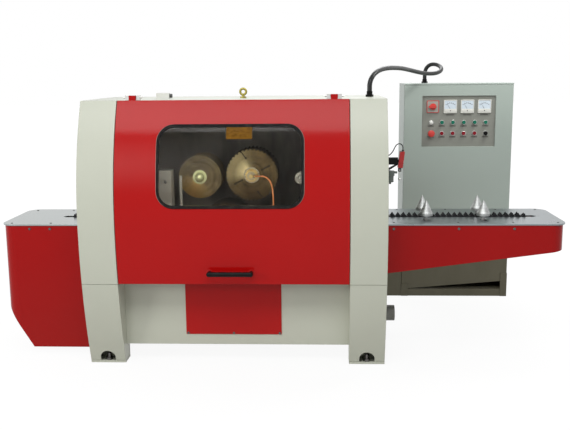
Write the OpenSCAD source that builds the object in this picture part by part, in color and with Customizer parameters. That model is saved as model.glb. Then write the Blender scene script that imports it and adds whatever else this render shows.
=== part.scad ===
// Multi rip saw: spiked feed chain, two saw arbors, lifting front door and control cabinet.
// Millimetres, Z up. The workpiece enters at +X, rides on the chain and leaves at -X.

/* [Body] */
// Width between the side columns
door_w = 1336; // [1280:4:1400]
// Width of each side column
column_w = 210; // [190:2:230]
// Height of the body over the floor
body_top = 1557; // [1530:1:1600]
// Height of the seam between legs and columns
seam_z = 514; // [500:1:530]
// Height of the line where the front bulges most
bulge_z = 870; // [850:5:890]
// Reach of the front bulge from the feed line
front_reach = 535; // [525:5:560]
// Reach of the rear wall from the feed line
rear_reach = 430; // [420:5:460]
// Radius of the front above the bulge
upper_radius = 1380; // [1330:10:1450]
// Radius of the front below the bulge
lower_radius = 2800; // [2600:20:3000]
// Sheet thickness of columns, legs and covers
wall = 6; // [5:0.5:8]
// Height of the lower edge of the base panel
base_z = 105; // [95:1:120]
// Thickness of the foot plates
foot_t = 12; // [10:1:16]
// Diameter of the free anchor holes
anchor_d = 18; // [14:1:22]
// Clear height of the workpiece tunnel over the table
tunnel_h = 220; // [200:5:230]

/* [Front door] */
// Gap around the door
door_gap = 4; // [3:0.5:5]
// Sheet thickness of the door
door_t = 5; // [4:0.5:6]
// Outer width of the window gasket
window_w = 850; // [800:5:880]
// Outer height of the window gasket
window_h = 480; // [440:5:500]
// Height of the window middle
window_z = 1190; // [1180:5:1210]
// Corner radius of the window gasket
window_corner = 105; // [90:5:120]
// Visible width of the gasket
gasket_w = 24; // [20:1:28]
// Length of the bar handle
handle_l = 266; // [240:2:300]
// Diameter of the bar handle
handle_d = 28; // [24:1:32]
// Height of the bar handle
handle_z = 586; // [575:1:610]
// Distance of each hinge from the door middle
hinge_x = 578; // [550:2:600]
// Diameter of the hinge pins
hinge_pin_d = 12; // [10:1:14]

/* [Tables] */
// Height of the table tops
table_z = 820; // [812:1:830]
// Half width of the tables
table_half = 275; // [260:1:290]
// Thickness of the table plates
plate_t = 8; // [6:1:10]
// Length of the infeed table
infeed_l = 1072; // [1050:2:1100]
// Length of the outfeed bench
outfeed_l = 557; // [530:1:590]
// Radius of the rounded table corners
table_corner = 80; // [60:2:100]
// Sheet thickness of the skirts
skirt_t = 4; // [3:0.5:5]
// Depth of the infeed skirt at the body
skirt_deep = 294; // [285:2:305]
// Depth of the infeed skirt at its end
skirt_shallow = 153; // [150:1:160]

/* [Feed chain] */
// Distance from pin to pin
chain_pitch = 35; // [34.8:0.1:35.2]
// Height of the spikes over the link plates
spike_h = 18; // [14:1:22]
// Diameter of the chain rollers
roller_d = 20; // [18:0.5:21]
// Diameter of the chain pins
chain_pin_d = 10; // [8:0.5:11]
// Thickness of the link plates
link_t = 4; // [3:0.5:4.5]
// Diameter of the sprocket shafts
drive_d = 40; // [32:1:44]

/* [Saws] */
// Diameter of the saw blades
saw_d = 318; // [300:2:324]
// Diameter of the smooth guide discs
disc_d = 260; // [240:2:280]
// Teeth on each blade
saw_teeth = 40; // [32:2:48]
// Thickness of blades and discs
saw_t = 3; // [2:0.5:4]
// Distance between neighbouring blades
saw_step = 44; // [42:1:46]
// Diameter of the saw arbors
arbor_d = 50; // [44:1:54]
// Diameter of the spacers between the blades
spacer_d = 96; // [84:2:104]

/* [Centring cones] */
// Diameter of the cones
cone_d = 80; // [70:2:84]
// Height of the pointed part
cone_h = 80; // [70:2:90]
// Height of the straight rim
cone_rim = 15; // [10:1:20]
// Diameter of the cone posts
post_d = 24; // [20:1:26]
// Inward travel of each cone
cone_in = 25; // [15:1:28]
// Outward travel of each cone
cone_out = 50; // [40:1:60]

/* [Cabinet] */
// Width of the cabinet
cab_w = 800; // [760:2:840]
// Height of the cabinet over the floor
cab_top = 1620; // [1600:2:1660]
// Depth of the cabinet behind its door
cab_d = 377; // [340:2:420]
// Distance of the cabinet front from the feed line
cab_front = 1091; // [1085:1:1110]
// Depth of the cabinet door
cab_door_t = 20; // [18:1:24]
// Sheet thickness of the cabinet
cab_wall = 4; // [3:0.5:5]
// Side length of the meters
meter_w = 98; // [90:1:102]
// Spacing of the push buttons
button_step = 80.5; // [76:0.5:82]
// Diameter of the button caps
cap_d = 26; // [22:1:28]
// Travel of the push buttons
button_travel = 4; // [3:0.5:5]
// Diameter of the stop mushroom
stop_d = 50; // [44:1:56]

/* [Cords] */
// Diameter of the black conduit
conduit_d = 30; // [26:1:32]
// Diameter of the coolant tube
tube_d = 9; // [7:0.5:10]
// Diameter of the switch cable
cable_d = 6; // [5:0.5:7]

/* [Fits] */
// Radial play of turning shafts
run_play = 0.05; // [0.02:0.01:0.1]
// Radial play of loose moving pieces
slip_play = 0.3; // [0.2:0.05:0.6]

/* [Hidden] */
$fn = 96;

grey = [0.76, 0.77, 0.71];
red = [0.62, 0.10, 0.10];
steel = [0.62, 0.64, 0.65];
black = [0.07, 0.07, 0.07];
gold = [0.75, 0.62, 0.28];
panel_grey = [0.45, 0.47, 0.44];

big = 3000;
half_door = door_w / 2;
half_body = half_door + column_w;
infeed_end = half_body + infeed_l;
outfeed_end = half_body + outfeed_l;
handle_reach = 44;
cab_back = cab_front + cab_door_t + 3 + cab_d;
cab_x = half_body + 247;
origin_x = (infeed_end - outfeed_end) / 2;
origin_y = (cab_back - front_reach - handle_reach) / 2;

// Front line of the body at a height
function front_y(z) = z > bulge_z
  ? -front_reach + upper_radius - sqrt(pow(upper_radius, 2) - pow(z - bulge_z, 2))
  : -front_reach + lower_radius - sqrt(pow(lower_radius, 2) - pow(z - bulge_z, 2));

top_y = front_y(body_top);
seam_gap = 3;
leg_rear = -290;
rear_leg_y = 230;
panel_y = -360;
bed_z = table_z - 20;
bed_t = 20;
bed_inner = -190;
spindle_wall = 30;
anchor_front = -315;
anchor_rear = rear_reach - 100;
access_x = -18;
access_w = 572;
access_z = base_z + 63;
cover_t = 3;
duct_z = base_z + 90;
duct_d = 98;
duct_bore = duct_d - 6;
duct_l = 300;

// Chain loop
teeth = 12;
chain_z = table_z - 5;
pitch_r = chain_pitch / (2 * sin(180 / teeth));
return_z = chain_z - 2 * pitch_r;
wheel_z = chain_z - pitch_r;
infeed_axle = infeed_end - 215;
run_links = floor((infeed_axle + outfeed_end - 395) / chain_pitch + 0.001);
outfeed_axle = infeed_axle - run_links * chain_pitch;
link_half_h = 12;
inner_half = 12.6;
link_gap = 0.4;
outer_in = inner_half + link_t + link_gap;
pin_half = outer_in + link_t + 2;
rail_in = 32;
rail_t = 8;
slot_half = 28;
tip_r = pitch_r + link_half_h + spike_h;
slot_reach = sqrt(pow(tip_r, 2) - pow(table_z - plate_t - wheel_z, 2)) + 4;
slot_taper = 24;
shaft_half = 50;

bench_low = 50;
bench_knee = 310;

// Saw arbors
saw_count = 6;
first_saw = -saw_step * (saw_count - 1) / 2;
upper_x = 83;
upper_z = table_z + 275;
disc_x = -235;
disc_z = table_z + 264;
lower_x = -75;
lower_z = table_z - 50;
flange_t = 12;
rim_slot_deep = 51;
rim_slot_w = 6;
rim_slot_turn = 109;
wiper_r = 68;
wiper_l = 50;
wiper_w = 7;
wiper_turn = 27.5;
relief_d = 13;
nut_t = 30;
arbor_nose = first_saw - saw_t / 2 - flange_t - nut_t - 5;
collar_y = -first_saw + saw_t / 2;
housing_y = 200;
housing_wall = 35;
housing_flange = 55;
housing_flange_t = 15;
wall_y = rear_reach - spindle_wall;
union_bore = 8;
motor_d = 236;
motor_l = 344;
cowl_l = 70;
gear_w = 150;
gear_d = 100;
gear_motor_d = 116;
gear_motor_l = 300;
fit = 0.05;
guide_x = -424;
guide_y = -255;
guide_h = 344;
roller_x = 445;

// Cones
cone_y = 100;
cone_x = [half_body + 265, half_body + 610];
cone_base = table_z + 22;
slot_w = post_d + 4;

// Cabinet foot and the cable trunk beside it
cab_low = 60;
plinth_h = 56;
plinth_rail = 50;
trunk_l = 110;
trunk_d = 170;
trunk_top = 240;

// Control panel
door_low = 450;
lip = 10;
door_x0 = cab_x + 2;
door_x1 = cab_x + cab_w - 2;
door_seam = 1.5;
door_z1 = cab_top - lip - door_seam;
pivot_x = door_x1 - 8;
pivot_y = cab_front + 8;
pivot_d = 8;
panel_x0 = cab_x + 132;
panel_x1 = cab_x + 673;
panel_z0 = cab_top - 468;
panel_z1 = cab_top - 91;
panel_face = cab_front + 14;
panel_t = 3;
meter_z = cab_top - 170;
meter_x = [cab_x + 340, cab_x + 465.5, cab_x + 591];
main_x = cab_x + 211;
main_w = 92;
row_1 = cab_top - 287;
row_2 = cab_top - 368;
lamp_x = cab_x + 200;
bezel_d = cap_d + 10;
bezel_t = 12;
knob_stem = 10;

// Limit switch group on the right column
arm_y = -100;
arm_z = table_z + 357;
arm_w = 42;
arm_l = 88;
switch_x = half_body + arm_l + 20;
switch_half = 14;
lever_z = arm_z - 55;
tilt = 7;
bowl_d = 42;

// Routes of the cords
gland_x = half_body - 76;
gland_y = 55;
gland_h = 34;
cab_gland_x = cab_x + 190;
cab_gland_y = cab_front + 355;
cab_gland_h = 30;
conduit_route = [
  [gland_x, gland_y, body_top + gland_h], [gland_x, gland_y, body_top + gland_h + 31],
  [806, 61, 1648], [817, 78, 1673], [836, 112, 1696], [864, 168, 1714], [902, 250, 1726], [952, 366, 1732],
  [1010, 510, 1732], [1066, 650, 1728], [1124, 795, 1719], [1192, 925, 1706], [1254, 1030, 1696],
  [1308, 1106, 1692], [1352, 1164, 1694], [1388, 1214, 1702], [1412, 1260, 1715], [1421, 1304, 1731],
  [1414, 1344, 1747], [1395, 1378, 1759], [1370, 1405, 1763], [1347, 1424, 1756], [1328, 1437, 1737],
  [1318, 1444, 1710], [cab_gland_x, cab_gland_y, cab_top + cab_gland_h + 31],
  [cab_gland_x, cab_gland_y, cab_top + cab_gland_h]];
tube_y = arbor_nose - 24;
elbow_x = upper_x + 22;
manifold_x = 218;
manifold_y = -207;
manifold_h = 60;
tube_route = [[elbow_x, tube_y, upper_z], [elbow_x + 14, tube_y, upper_z], [137, tube_y - 1, 1096],
  [155, tube_y - 4, 1096], [172, tube_y - 8, 1091], [187, tube_y - 12, 1081], [199, tube_y - 16, 1066],
  [207, tube_y - 19, 1047], [212, tube_y - 21, 1025], [215, tube_y - 23, 1000], [217, manifold_y + 1, 970],
  [manifold_x, manifold_y, 940], [manifold_x, manifold_y, 910],
  [manifold_x, manifold_y, bed_z + manifold_h + 14], [manifold_x, manifold_y, bed_z + manifold_h]];
cable_top = arm_z + 66;
cable_route = [[half_body, arm_y - 14, 1206], [half_body + 12, arm_y - 14, 1206],
  [half_body + 30, arm_y - 14, 1210], [half_body + 46, arm_y - 14, 1222], [half_body + 59, arm_y - 12, 1240],
  [half_body + 69, arm_y - 10, 1260], [half_body + 82, arm_y - 6, 1276], [switch_x - 8, arm_y - 2, 1280],
  [switch_x + 6, arm_y, 1269], [switch_x + 10, arm_y, cable_top + 10], [switch_x + 10, arm_y, cable_top]];

// Moves a piece from the feed line frame to the middle of the footprint
module centred() {
  translate([-origin_x, -origin_y, 0]) children();
}

// Block between two corners
module span(a, b) {
  translate(a) cube(b - a);
}

// Rod along X, Y or Z from a point
module rod_x(x, y, z, d, l) {
  translate([x, y, z]) rotate([0, 90, 0]) cylinder(d = d, h = l);
}
module rod_y(x, y, z, d, l) {
  translate([x, y, z]) rotate([-90, 0, 0]) cylinder(d = d, h = l);
}
module rod_z(x, y, z, d, l) {
  translate([x, y, z]) cylinder(d = d, h = l);
}

// Tube along Y
module ring_y(x, y, z, d, bore, l) {
  difference() {
    rod_y(x, y, z, d, l);
    rod_y(x, y - 1, z, bore, l + 2);
  }
}

// Body slice with the convex front, set back by inset
module front_block(x0, x1, z0, z1, y1, inset) {
  if (z1 > bulge_z)
    intersection() {
      rod_x(x0, upper_radius - front_reach, bulge_z, 2 * (upper_radius - inset), x1 - x0, $fn = 240);
      span([x0 - 1, -front_reach - 60, max(z0, bulge_z)], [x1 + 1, y1, z1]);
    }
  if (z0 < bulge_z)
    intersection() {
      rod_x(x0, lower_radius - front_reach, bulge_z, 2 * (lower_radius - inset), x1 - x0, $fn = 240);
      span([x0 - 1, -front_reach - 60, z0], [x1 + 1, y1, min(z1, bulge_z)]);
    }
}

// Both sides of the body
module both_sides() {
  children();
  mirror([1, 0, 0]) children();
}

// Rectangle with rounded corners
module rounded(w, h, r) {
  square([w - 2 * r, h], center = true);
  square([w, h - 2 * r], center = true);
  for (sx = [-1, 1], sy = [-1, 1])
    translate([sx * (w / 2 - r), sy * (h / 2 - r)]) circle(r = r);
}

// Table outline with two rounded end corners, from the body to the far end
module table_outline(l, half, r) {
  translate([0, -half]) square([l - r, 2 * half]);
  translate([0, -half + r]) square([l, 2 * half - 2 * r]);
  for (s = [-1, 1])
    translate([l - r, s * (half - r)]) circle(r = r);
}

// Slot along Y with round ends
module slot_y(x, y0, y1, w, z, h) {
  rod_z(x, y0, z, w, h);
  rod_z(x, y1, z, w, h);
  span([x - w / 2, y0, z], [x + w / 2, y1, z + h]);
}

module base_frame() color(grey) centred() {
  difference() {
    union() {
      span([-half_door, panel_y, base_z], [half_door, panel_y + 8, bed_z]);
      span([-half_door, panel_y, bed_z - bed_t], [half_door, bed_inner, bed_z]);
      span([-half_door, panel_y, base_z], [half_door, rear_reach, base_z + 10]);
      span([-half_door, wall_y, base_z], [half_door, rear_reach, body_top - wall]);
      both_sides() {
        span([half_door - 8, panel_y, base_z], [half_door, rear_reach, seam_z]);
        difference() {
          span([half_door - 8, rear_leg_y, 0], [half_body, rear_reach, seam_z]);
          span([half_door + wall, rear_leg_y - 1, foot_t],
            [half_body - wall, rear_reach - wall, seam_z - wall]);
        }
      }
    }
    for (c = [[upper_x, upper_z], [lower_x, lower_z]])
      rod_y(c[0], wall_y - 1, c[1], arbor_d + 10, spindle_wall + 2);
    both_sides()
      rod_z(half_door + column_w / 2, anchor_rear, -1, anchor_d, foot_t + 2);
    rod_x(half_door - 9, 0, duct_z, duct_bore, 10);
  }
}

// Arched opening through the front of a foot
arch_w = 90;
arch_rise = 22;
foot_seam = 3;
module foot_arch(x) intersection() {
  union() {
    span([x - arch_w / 2, -front_reach, 0], [x + arch_w / 2, leg_rear - 60, foot_t + arch_rise]);
    rod_y(x, -front_reach, foot_t + arch_rise, arch_w, front_reach + leg_rear - 60);
  }
  span([x - arch_w, -big, foot_t], [x + arch_w, big, big]);
}

module front_legs() color(grey) centred() both_sides() difference() {
  x0 = half_door;
  x1 = half_body;
  union() {
    front_block(x0, x1, foot_t + foot_seam, seam_z - seam_gap, leg_rear, 0);
    front_block(x0 + 3, x1 - 3, foot_t, foot_t + foot_seam + 1, leg_rear, 3);
    front_block(x0 + 4, x1 - 4, seam_z - seam_gap - 1, seam_z, leg_rear, 4);
    span([x0, front_y(0) - 4, 0], [x1, leg_rear, foot_t]);
  }
  front_block(x0 + wall, x1 - wall, foot_t, seam_z - 12, leg_rear - wall, wall);
  foot_arch(x0 + column_w / 2);
  rod_z(x0 + column_w / 2, anchor_front, -1, anchor_d, foot_t + 2);
}

module side_columns() color(grey) centred() both_sides() difference() {
  x0 = half_door;
  x1 = half_body;
  front_block(x0, x1, seam_z, body_top, rear_reach, 0);
  front_block(x0 + wall, x1 - wall, seam_z - 1, body_top - wall, rear_reach - wall, wall);
  span([x0 - 1, -160, table_z + 2], [x1 + 1, 160, table_z + tunnel_h]);
  span([x0 - 1, -60, return_z - 90], [x1 + 1, 60, table_z + 3]);
}

module top_cover() color(grey) centred() {
  front = top_y + door_t + door_gap;
  span([-half_door, front, body_top - wall], [half_door, rear_reach, body_top]);
  span([-half_door, front, body_top - 40], [half_door, front + wall, body_top - wall]);
}

module access_panel() color(red) centred()
  span([access_x - access_w / 2, panel_y - cover_t, access_z],
    [access_x + access_w / 2, panel_y, seam_z - 12]);

// Round-headed screw looking along -Y
module screw_y(x, y, z, d) {
  difference() {
    rod_y(x, y - 3, z, d, 3);
    rod_y(x, y - 4, z, d * 0.45, 2, $fn = 6);
  }
}

// Low-headed screw on a table plate
module screw_z(x, y) {
  difference() {
    rod_z(x, y, table_z, 13, 2);
    rod_z(x, y, table_z + 0.8, 6, 2, $fn = 6);
  }
}

// Places of the table screws, from the body outwards
skirt_screws = [55, 437, 760];
front_screws = [60, 440, 764];
rear_screws = [120, 434, 757];
bench_screws = [252, 376];

module fasteners() color(steel) centred() {
  skirt_y = -table_half + 5;
  for (i = [-1 : 1])
    screw_y(access_x + i * (access_w / 2 - 12), panel_y - cover_t, access_z + 8, 14);
  for (d = skirt_screws)
    screw_y(half_body + d, skirt_y, table_z - 28, 15);
  for (d = bench_screws)
    screw_y(-half_body - d, skirt_y, table_z - 28, 15);
  for (d = concat(front_screws, [infeed_l - 46]))
    screw_z(half_body + d, -table_half + 58);
  for (d = concat(rear_screws, [infeed_l - 60]))
    screw_z(half_body + d, table_half - 30);
  for (d = [bench_screws[0] + 5, outfeed_l - 60], s = [-1, 1])
    screw_z(-half_body - d, s * (table_half - 44));
  for (s = [-1, 1])
    translate([s * (half_door + column_w / 2), front_y(40) + 32, foot_t]) {
      cylinder(d = 40, h = 14, $fn = 6);
      cylinder(d = 20, h = 42);
    }
}

// Skirt shell under a table: outline l long, cut by the side outline
module skirt(l, outline) {
  drop = table_z - plate_t;
  difference() {
    intersection() {
      linear_extrude(drop) table_outline(l, table_half - 5, table_corner);
      translate([0, table_half, 0]) rotate([90, 0, 0]) linear_extrude(2 * table_half) polygon(outline);
    }
    translate([-1, 0, -1]) linear_extrude(drop + 2)
      table_outline(l + 1 - skirt_t, table_half - 5 - skirt_t, table_corner - skirt_t);
  }
}

module table_skirts() color(red) centred() {
  drop = table_z - plate_t;
  translate([half_body, 0, 0])
    skirt(infeed_l - 10, [[0, drop - skirt_deep], [infeed_l, drop - skirt_shallow], [infeed_l, drop],
      [0, drop]]);
  translate([-half_body, 0, 0]) mirror([1, 0, 0])
    skirt(outfeed_l - 8, [[0, bench_low], [outfeed_l - 165, bench_low], [outfeed_l - 8, bench_knee],
      [outfeed_l - 8, drop], [0, drop]]);
}

// Pointed end of the chain slot in a table plate
module slot_point(tip) {
  translate([0, 0, -1]) linear_extrude(plate_t + 2)
    polygon([[tip - 1, -slot_half], [tip + slot_taper, 0], [tip - 1, slot_half]]);
}

module table_plates() color(steel) centred() {
  z = table_z - plate_t;
  translate([half_body, 0, z]) difference() {
    linear_extrude(plate_t) table_outline(infeed_l, table_half, table_corner);
    tip = infeed_axle + slot_reach - half_body;
    span([-1, -slot_half, -1], [tip, slot_half, plate_t + 1]);
    slot_point(tip);
    rod_z(tip + slot_taper + 10, 0, -1, 9, plate_t + 2);
    for (x = cone_x, s = [-1, 1])
      slot_y(x - half_body, min(s * (cone_y - cone_in - 2), s * (cone_y + cone_out + 2)),
        max(s * (cone_y - cone_in - 2), s * (cone_y + cone_out + 2)), slot_w, -1, plate_t + 2);
  }
  translate([-half_body, 0, z]) mirror([1, 0, 0]) difference() {
    linear_extrude(plate_t) table_outline(outfeed_l, table_half, table_corner);
    tip = slot_reach - outfeed_axle - half_body;
    span([-1, -slot_half, -1], [tip, slot_half, plate_t + 1]);
    slot_point(tip);
  }
}

module chain_rail() color(steel) centred() {
  z0 = return_z + 20;
  z1 = table_z - plate_t;
  difference() {
    union() {
      for (s = [-1, 1])
        span([outfeed_axle - 40, min(s * rail_in, s * (rail_in + rail_t)), z0],
          [infeed_axle + 40, max(s * rail_in, s * (rail_in + rail_t)), z1]);
      for (x = [outfeed_axle + 140 : 300 : infeed_axle - 100])
        span([x - 15, -rail_in - 1, chain_z - 59], [x + 15, rail_in + 1, chain_z - 33]);
      for (r = [[outfeed_axle + 100, lower_x - 45], [lower_x + 45, infeed_axle - 100]])
        span([r[0], -10, chain_z - 39], [r[1], 10, chain_z - roller_d / 2 - slip_play]);
    }
    rod_y(lower_x, -60, lower_z, arbor_d + 30, 120);
    for (x = [outfeed_axle, infeed_axle])
      rod_y(x, -60, wheel_z, drive_d + 2 * run_play, 120);
  }
}

// Pin centres of the closed chain, clockwise from the outfeed top
function chain_pin(i) =
  i <= run_links ? [outfeed_axle + i * chain_pitch, chain_z] :
  i < run_links + teeth / 2 ? [infeed_axle + pitch_r * sin((i - run_links) * 360 / teeth),
    wheel_z + pitch_r * cos((i - run_links) * 360 / teeth)] :
  i <= 2 * run_links + teeth / 2 ? [infeed_axle - (i - run_links - teeth / 2) * chain_pitch, return_z] :
  [outfeed_axle - pitch_r * sin((i - 2 * run_links - teeth / 2) * 360 / teeth),
    wheel_z - pitch_r * cos((i - 2 * run_links - teeth / 2) * 360 / teeth)];

// Side plate of a link with its spike, from pin to pin along X
module link_plate(y) {
  end = chain_pitch / 2 + 7;
  mid = chain_pitch / 2;
  h = link_half_h;
  translate([0, y + link_t, 0]) rotate([90, 0, 0]) linear_extrude(link_t)
    polygon([[mid - end, -h + 5], [mid - end + 5, -h], [mid + end - 5, -h], [mid + end, -h + 5],
      [mid + end, h - 5], [mid + 13, h], [mid, h + spike_h], [mid - 13, h], [mid - end, h - 5]]);
}

module outer_link() {
  link_plate(outer_in);
  link_plate(-outer_in - link_t);
  for (x = [0, chain_pitch])
    rod_y(x, -pin_half, 0, chain_pin_d, 2 * pin_half);
}

module inner_link() difference() {
  union() {
    link_plate(inner_half);
    link_plate(-inner_half - link_t);
    for (x = [0, chain_pitch])
      rod_y(x, -inner_half - 1, 0, roller_d, 2 * inner_half + 2);
  }
  for (x = [0, chain_pitch])
    rod_y(x, -pin_half, 0, chain_pin_d + 2 * slip_play, 2 * pin_half);
}

module feed_chain() color(black) centred() {
  count = 2 * run_links + teeth;
  for (i = [0 : count - 1]) {
    a = chain_pin(i);
    b = chain_pin((i + 1) % count);
    translate([a[0], 0, a[1]]) rotate([0, -atan2(b[1] - a[1], b[0] - a[0]), 0])
      if (i % 2 == 0) outer_link(); else inner_link();
  }
}

// Toothed wheel of the chain, on its shaft
module sprocket(x, y0, y1) {
  seat = roller_d / 2 + slip_play;
  translate([x, 11, wheel_z]) rotate([90, 0, 0]) linear_extrude(22) difference() {
    circle(r = pitch_r + 6);
    for (i = [0 : teeth - 1]) rotate(i * 360 / teeth) {
      translate([0, pitch_r]) circle(r = seat);
      translate([0, pitch_r]) polygon([[-seat, 0], [seat, 0], [seat + 4.5, 7], [-seat - 4.5, 7]]);
    }
  }
  rod_y(x, -28, wheel_z, drive_d + 24, 56);
  rod_y(x, y0, wheel_z, drive_d, y1 - y0);
}

module drive_sprocket() color(steel) centred() sprocket(outfeed_axle, -shaft_half, rail_in + rail_t + 80);

module idler_sprocket() color(steel) centred() sprocket(infeed_axle, -shaft_half, shaft_half);

module bearing_housings() color(panel_grey) centred() {
  for (c = [[upper_x, upper_z], [lower_x, lower_z], [disc_x, disc_z]]) {
    ring_y(c[0], housing_y, c[1], arbor_d + 2 * housing_wall, arbor_d + 2 * run_play,
      wall_y - housing_y - housing_flange_t);
    ring_y(c[0], wall_y - housing_flange_t, c[1], arbor_d + 2 * housing_flange, arbor_d + 2 * run_play,
      housing_flange_t);
  }
}

// Finned motor on the rear wall with a blind bore for its arbor
module saw_motor(x, z) difference() {
  union() {
    rod_y(x, rear_reach, z, motor_d + 64, 16);
    rod_y(x, rear_reach + 16, z, motor_d, motor_l);
    for (y = [40 : 18 : motor_l - 80])
      rod_y(x, rear_reach + y, z, motor_d + 24, 8);
    rod_y(x, rear_reach + 16 + motor_l - cowl_l, z, motor_d + 20, cowl_l - 14);
    rod_y(x, rear_reach + motor_l, z, motor_d - 10, 18);
    span([x - 60, rear_reach + 120, z + motor_d / 2 - 18], [x + 60, rear_reach + 240, z + motor_d / 2 + 32]);
  }
  rod_y(x, rear_reach - 1, z, arbor_d + 2 * run_play, 41);
}

module drive_motors() color(panel_grey) centred() {
  saw_motor(upper_x, upper_z);
  saw_motor(lower_x, lower_z);
  y = rail_in + rail_t;
  difference() {
    union() {
      span([outfeed_axle - gear_w / 2, y, wheel_z - 80],
        [outfeed_axle + gear_w / 2, y + gear_d, wheel_z + 60]);
      rod_z(outfeed_axle, y + 62, wheel_z - 96, gear_motor_d + 4, 20);
      rod_z(outfeed_axle, y + 62, wheel_z - 80 - gear_motor_l, gear_motor_d, gear_motor_l);
      for (h = [20 : 22 : gear_motor_l - 40])
        rod_z(outfeed_axle, y + 62, wheel_z - 80 - gear_motor_l + h, gear_motor_d + 8, 6);
    }
    rod_y(outfeed_axle, y - 1, wheel_z, drive_d + 2 * run_play, 82);
  }
}

// Toothed blade outline with two sloped slots from the rim and two wiper slots between flange and rim
module blade_outline(d) {
  step = 360 / saw_teeth;
  r = d / 2;
  difference() {
    polygon([for (i = [0 : saw_teeth - 1], p = [[r - 9, 0], [r, 0.08], [r - 1, 0.45], [r - 9, 0.75]])
      [p[0] * cos((i + p[1]) * step), p[0] * sin((i + p[1]) * step)]]);
    circle(d = arbor_d + 2 * fit);
    for (a = [rim_slot_turn, rim_slot_turn + 180])
      rotate(a) translate([r - rim_slot_deep, 0]) rotate(18) {
        translate([0, -rim_slot_w / 2]) square([rim_slot_deep + 10, rim_slot_w]);
        circle(d = relief_d, $fn = 24);
      }
    for (a = [wiper_turn, wiper_turn + 180])
      rotate(a) translate([wiper_r, 0]) {
        translate([0, -wiper_w / 2]) square([wiper_l, wiper_w]);
        for (x = [0, wiper_l])
          translate([x, 0]) circle(d = relief_d, $fn = 24);
      }
  }
}

module blade(x, y, z) {
  translate([x, y + saw_t / 2, z]) rotate([90, 0, 0]) linear_extrude(saw_t) blade_outline(saw_d);
}

module upper_blades() color(steel) centred()
  for (i = [0 : saw_count - 1])
    blade(upper_x, first_saw + i * saw_step, upper_z);

module lower_blades() color(steel) centred()
  for (i = [0, 1, saw_count - 2, saw_count - 1])
    blade(lower_x, first_saw + i * saw_step, lower_z);

// Shaft with a rear collar, reaching into its motor
module arbor(x, z) difference() {
  union() {
    rod_y(x, arbor_nose, z, arbor_d, rear_reach + 36 - arbor_nose);
    rod_y(x, collar_y, z, spacer_d, 20);
  }
  rod_y(x, arbor_nose - 1, z, 2 * union_bore + 2 * run_play, 40);
}

module spacer(x, y, z, l) ring_y(x, y, z, spacer_d, arbor_d + 2 * fit, l);

module upper_arbor() color(steel) centred() {
  arbor(upper_x, upper_z);
  for (i = [0 : saw_count - 2])
    spacer(upper_x, first_saw + i * saw_step + saw_t / 2, upper_z, saw_step - saw_t);
  spacer(upper_x, first_saw - saw_t / 2 - flange_t, upper_z, flange_t);
}

// Hexagon nut with a round washer face
module upper_nut() color(gold) centred() difference() {
  y = first_saw - saw_t / 2 - flange_t;
  union() {
    rod_y(upper_x, y - 8, upper_z, arbor_d + 30, 8);
    rod_y(upper_x, y - nut_t, upper_z, arbor_d + 24, nut_t - 8, $fn = 6);
  }
  rod_y(upper_x, y - nut_t - 1, upper_z, arbor_d + 2 * fit, nut_t + 2);
}

module lower_arbor() color(steel) centred() {
  arbor(lower_x, lower_z);
  for (i = [0, saw_count - 2])
    spacer(lower_x, first_saw + i * saw_step + saw_t / 2, lower_z, saw_step - saw_t);
  for (s = [-1, 1])
    spacer(lower_x, s * (first_saw + saw_step + saw_t / 2 + 8) - 8, lower_z, 16);
  spacer(lower_x, first_saw - saw_t / 2 - flange_t, lower_z, flange_t);
  y = first_saw - saw_t / 2 - flange_t;
  difference() {
    rod_y(lower_x, y - nut_t, lower_z, arbor_d + 24, nut_t, $fn = 6);
    rod_y(lower_x, y - nut_t - 1, lower_z, arbor_d + 2 * fit, nut_t + 2);
  }
}

module guide_shaft() color(steel) centred() {
  nose = first_saw - saw_t / 2 - 12;
  rod_y(disc_x, nose, disc_z, arbor_d, wall_y - 4 - nose);
  rod_y(disc_x, collar_y, disc_z, spacer_d, 20);
  for (i = [0 : saw_count - 2])
    spacer(disc_x, first_saw + i * saw_step + saw_t / 2, disc_z, saw_step - saw_t);
}

module guide_discs() color(steel) centred()
  for (i = [0 : saw_count - 1])
    ring_y(disc_x, first_saw + i * saw_step - saw_t / 2, disc_z, disc_d, arbor_d + 2 * fit, saw_t);

// Domed nut over the shaft nose
module guide_nut() color(gold) centred() difference() {
  y = first_saw - saw_t / 2;
  union() {
    rod_y(disc_x, y - 8, disc_z, arbor_d + 36, 8);
    rod_y(disc_x, y - 20, disc_z, arbor_d + 20, 13, $fn = 6);
    intersection() {
      translate([disc_x, y - 18, disc_z]) sphere(d = arbor_d + 8);
      rod_y(disc_x, y - 60, disc_z, arbor_d + 10, 42);
    }
  }
  rod_y(disc_x, y - 13, disc_z, arbor_d + 2 * fit, 20);
}

module coolant_union() color(gold) centred() {
  rod_y(upper_x, arbor_nose, upper_z, 2 * union_bore, 30);
  rod_y(upper_x, arbor_nose - 36, upper_z, 26, 35);
  rod_x(upper_x, tube_y, upper_z, 14, elbow_x - upper_x);
  rod_y(upper_x, arbor_nose - 2, upper_z, 2 * union_bore, 4);
  span([manifold_x - 16, manifold_y - 14, bed_z], [manifold_x + 16, manifold_y + 14, bed_z + manifold_h]);
}

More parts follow.
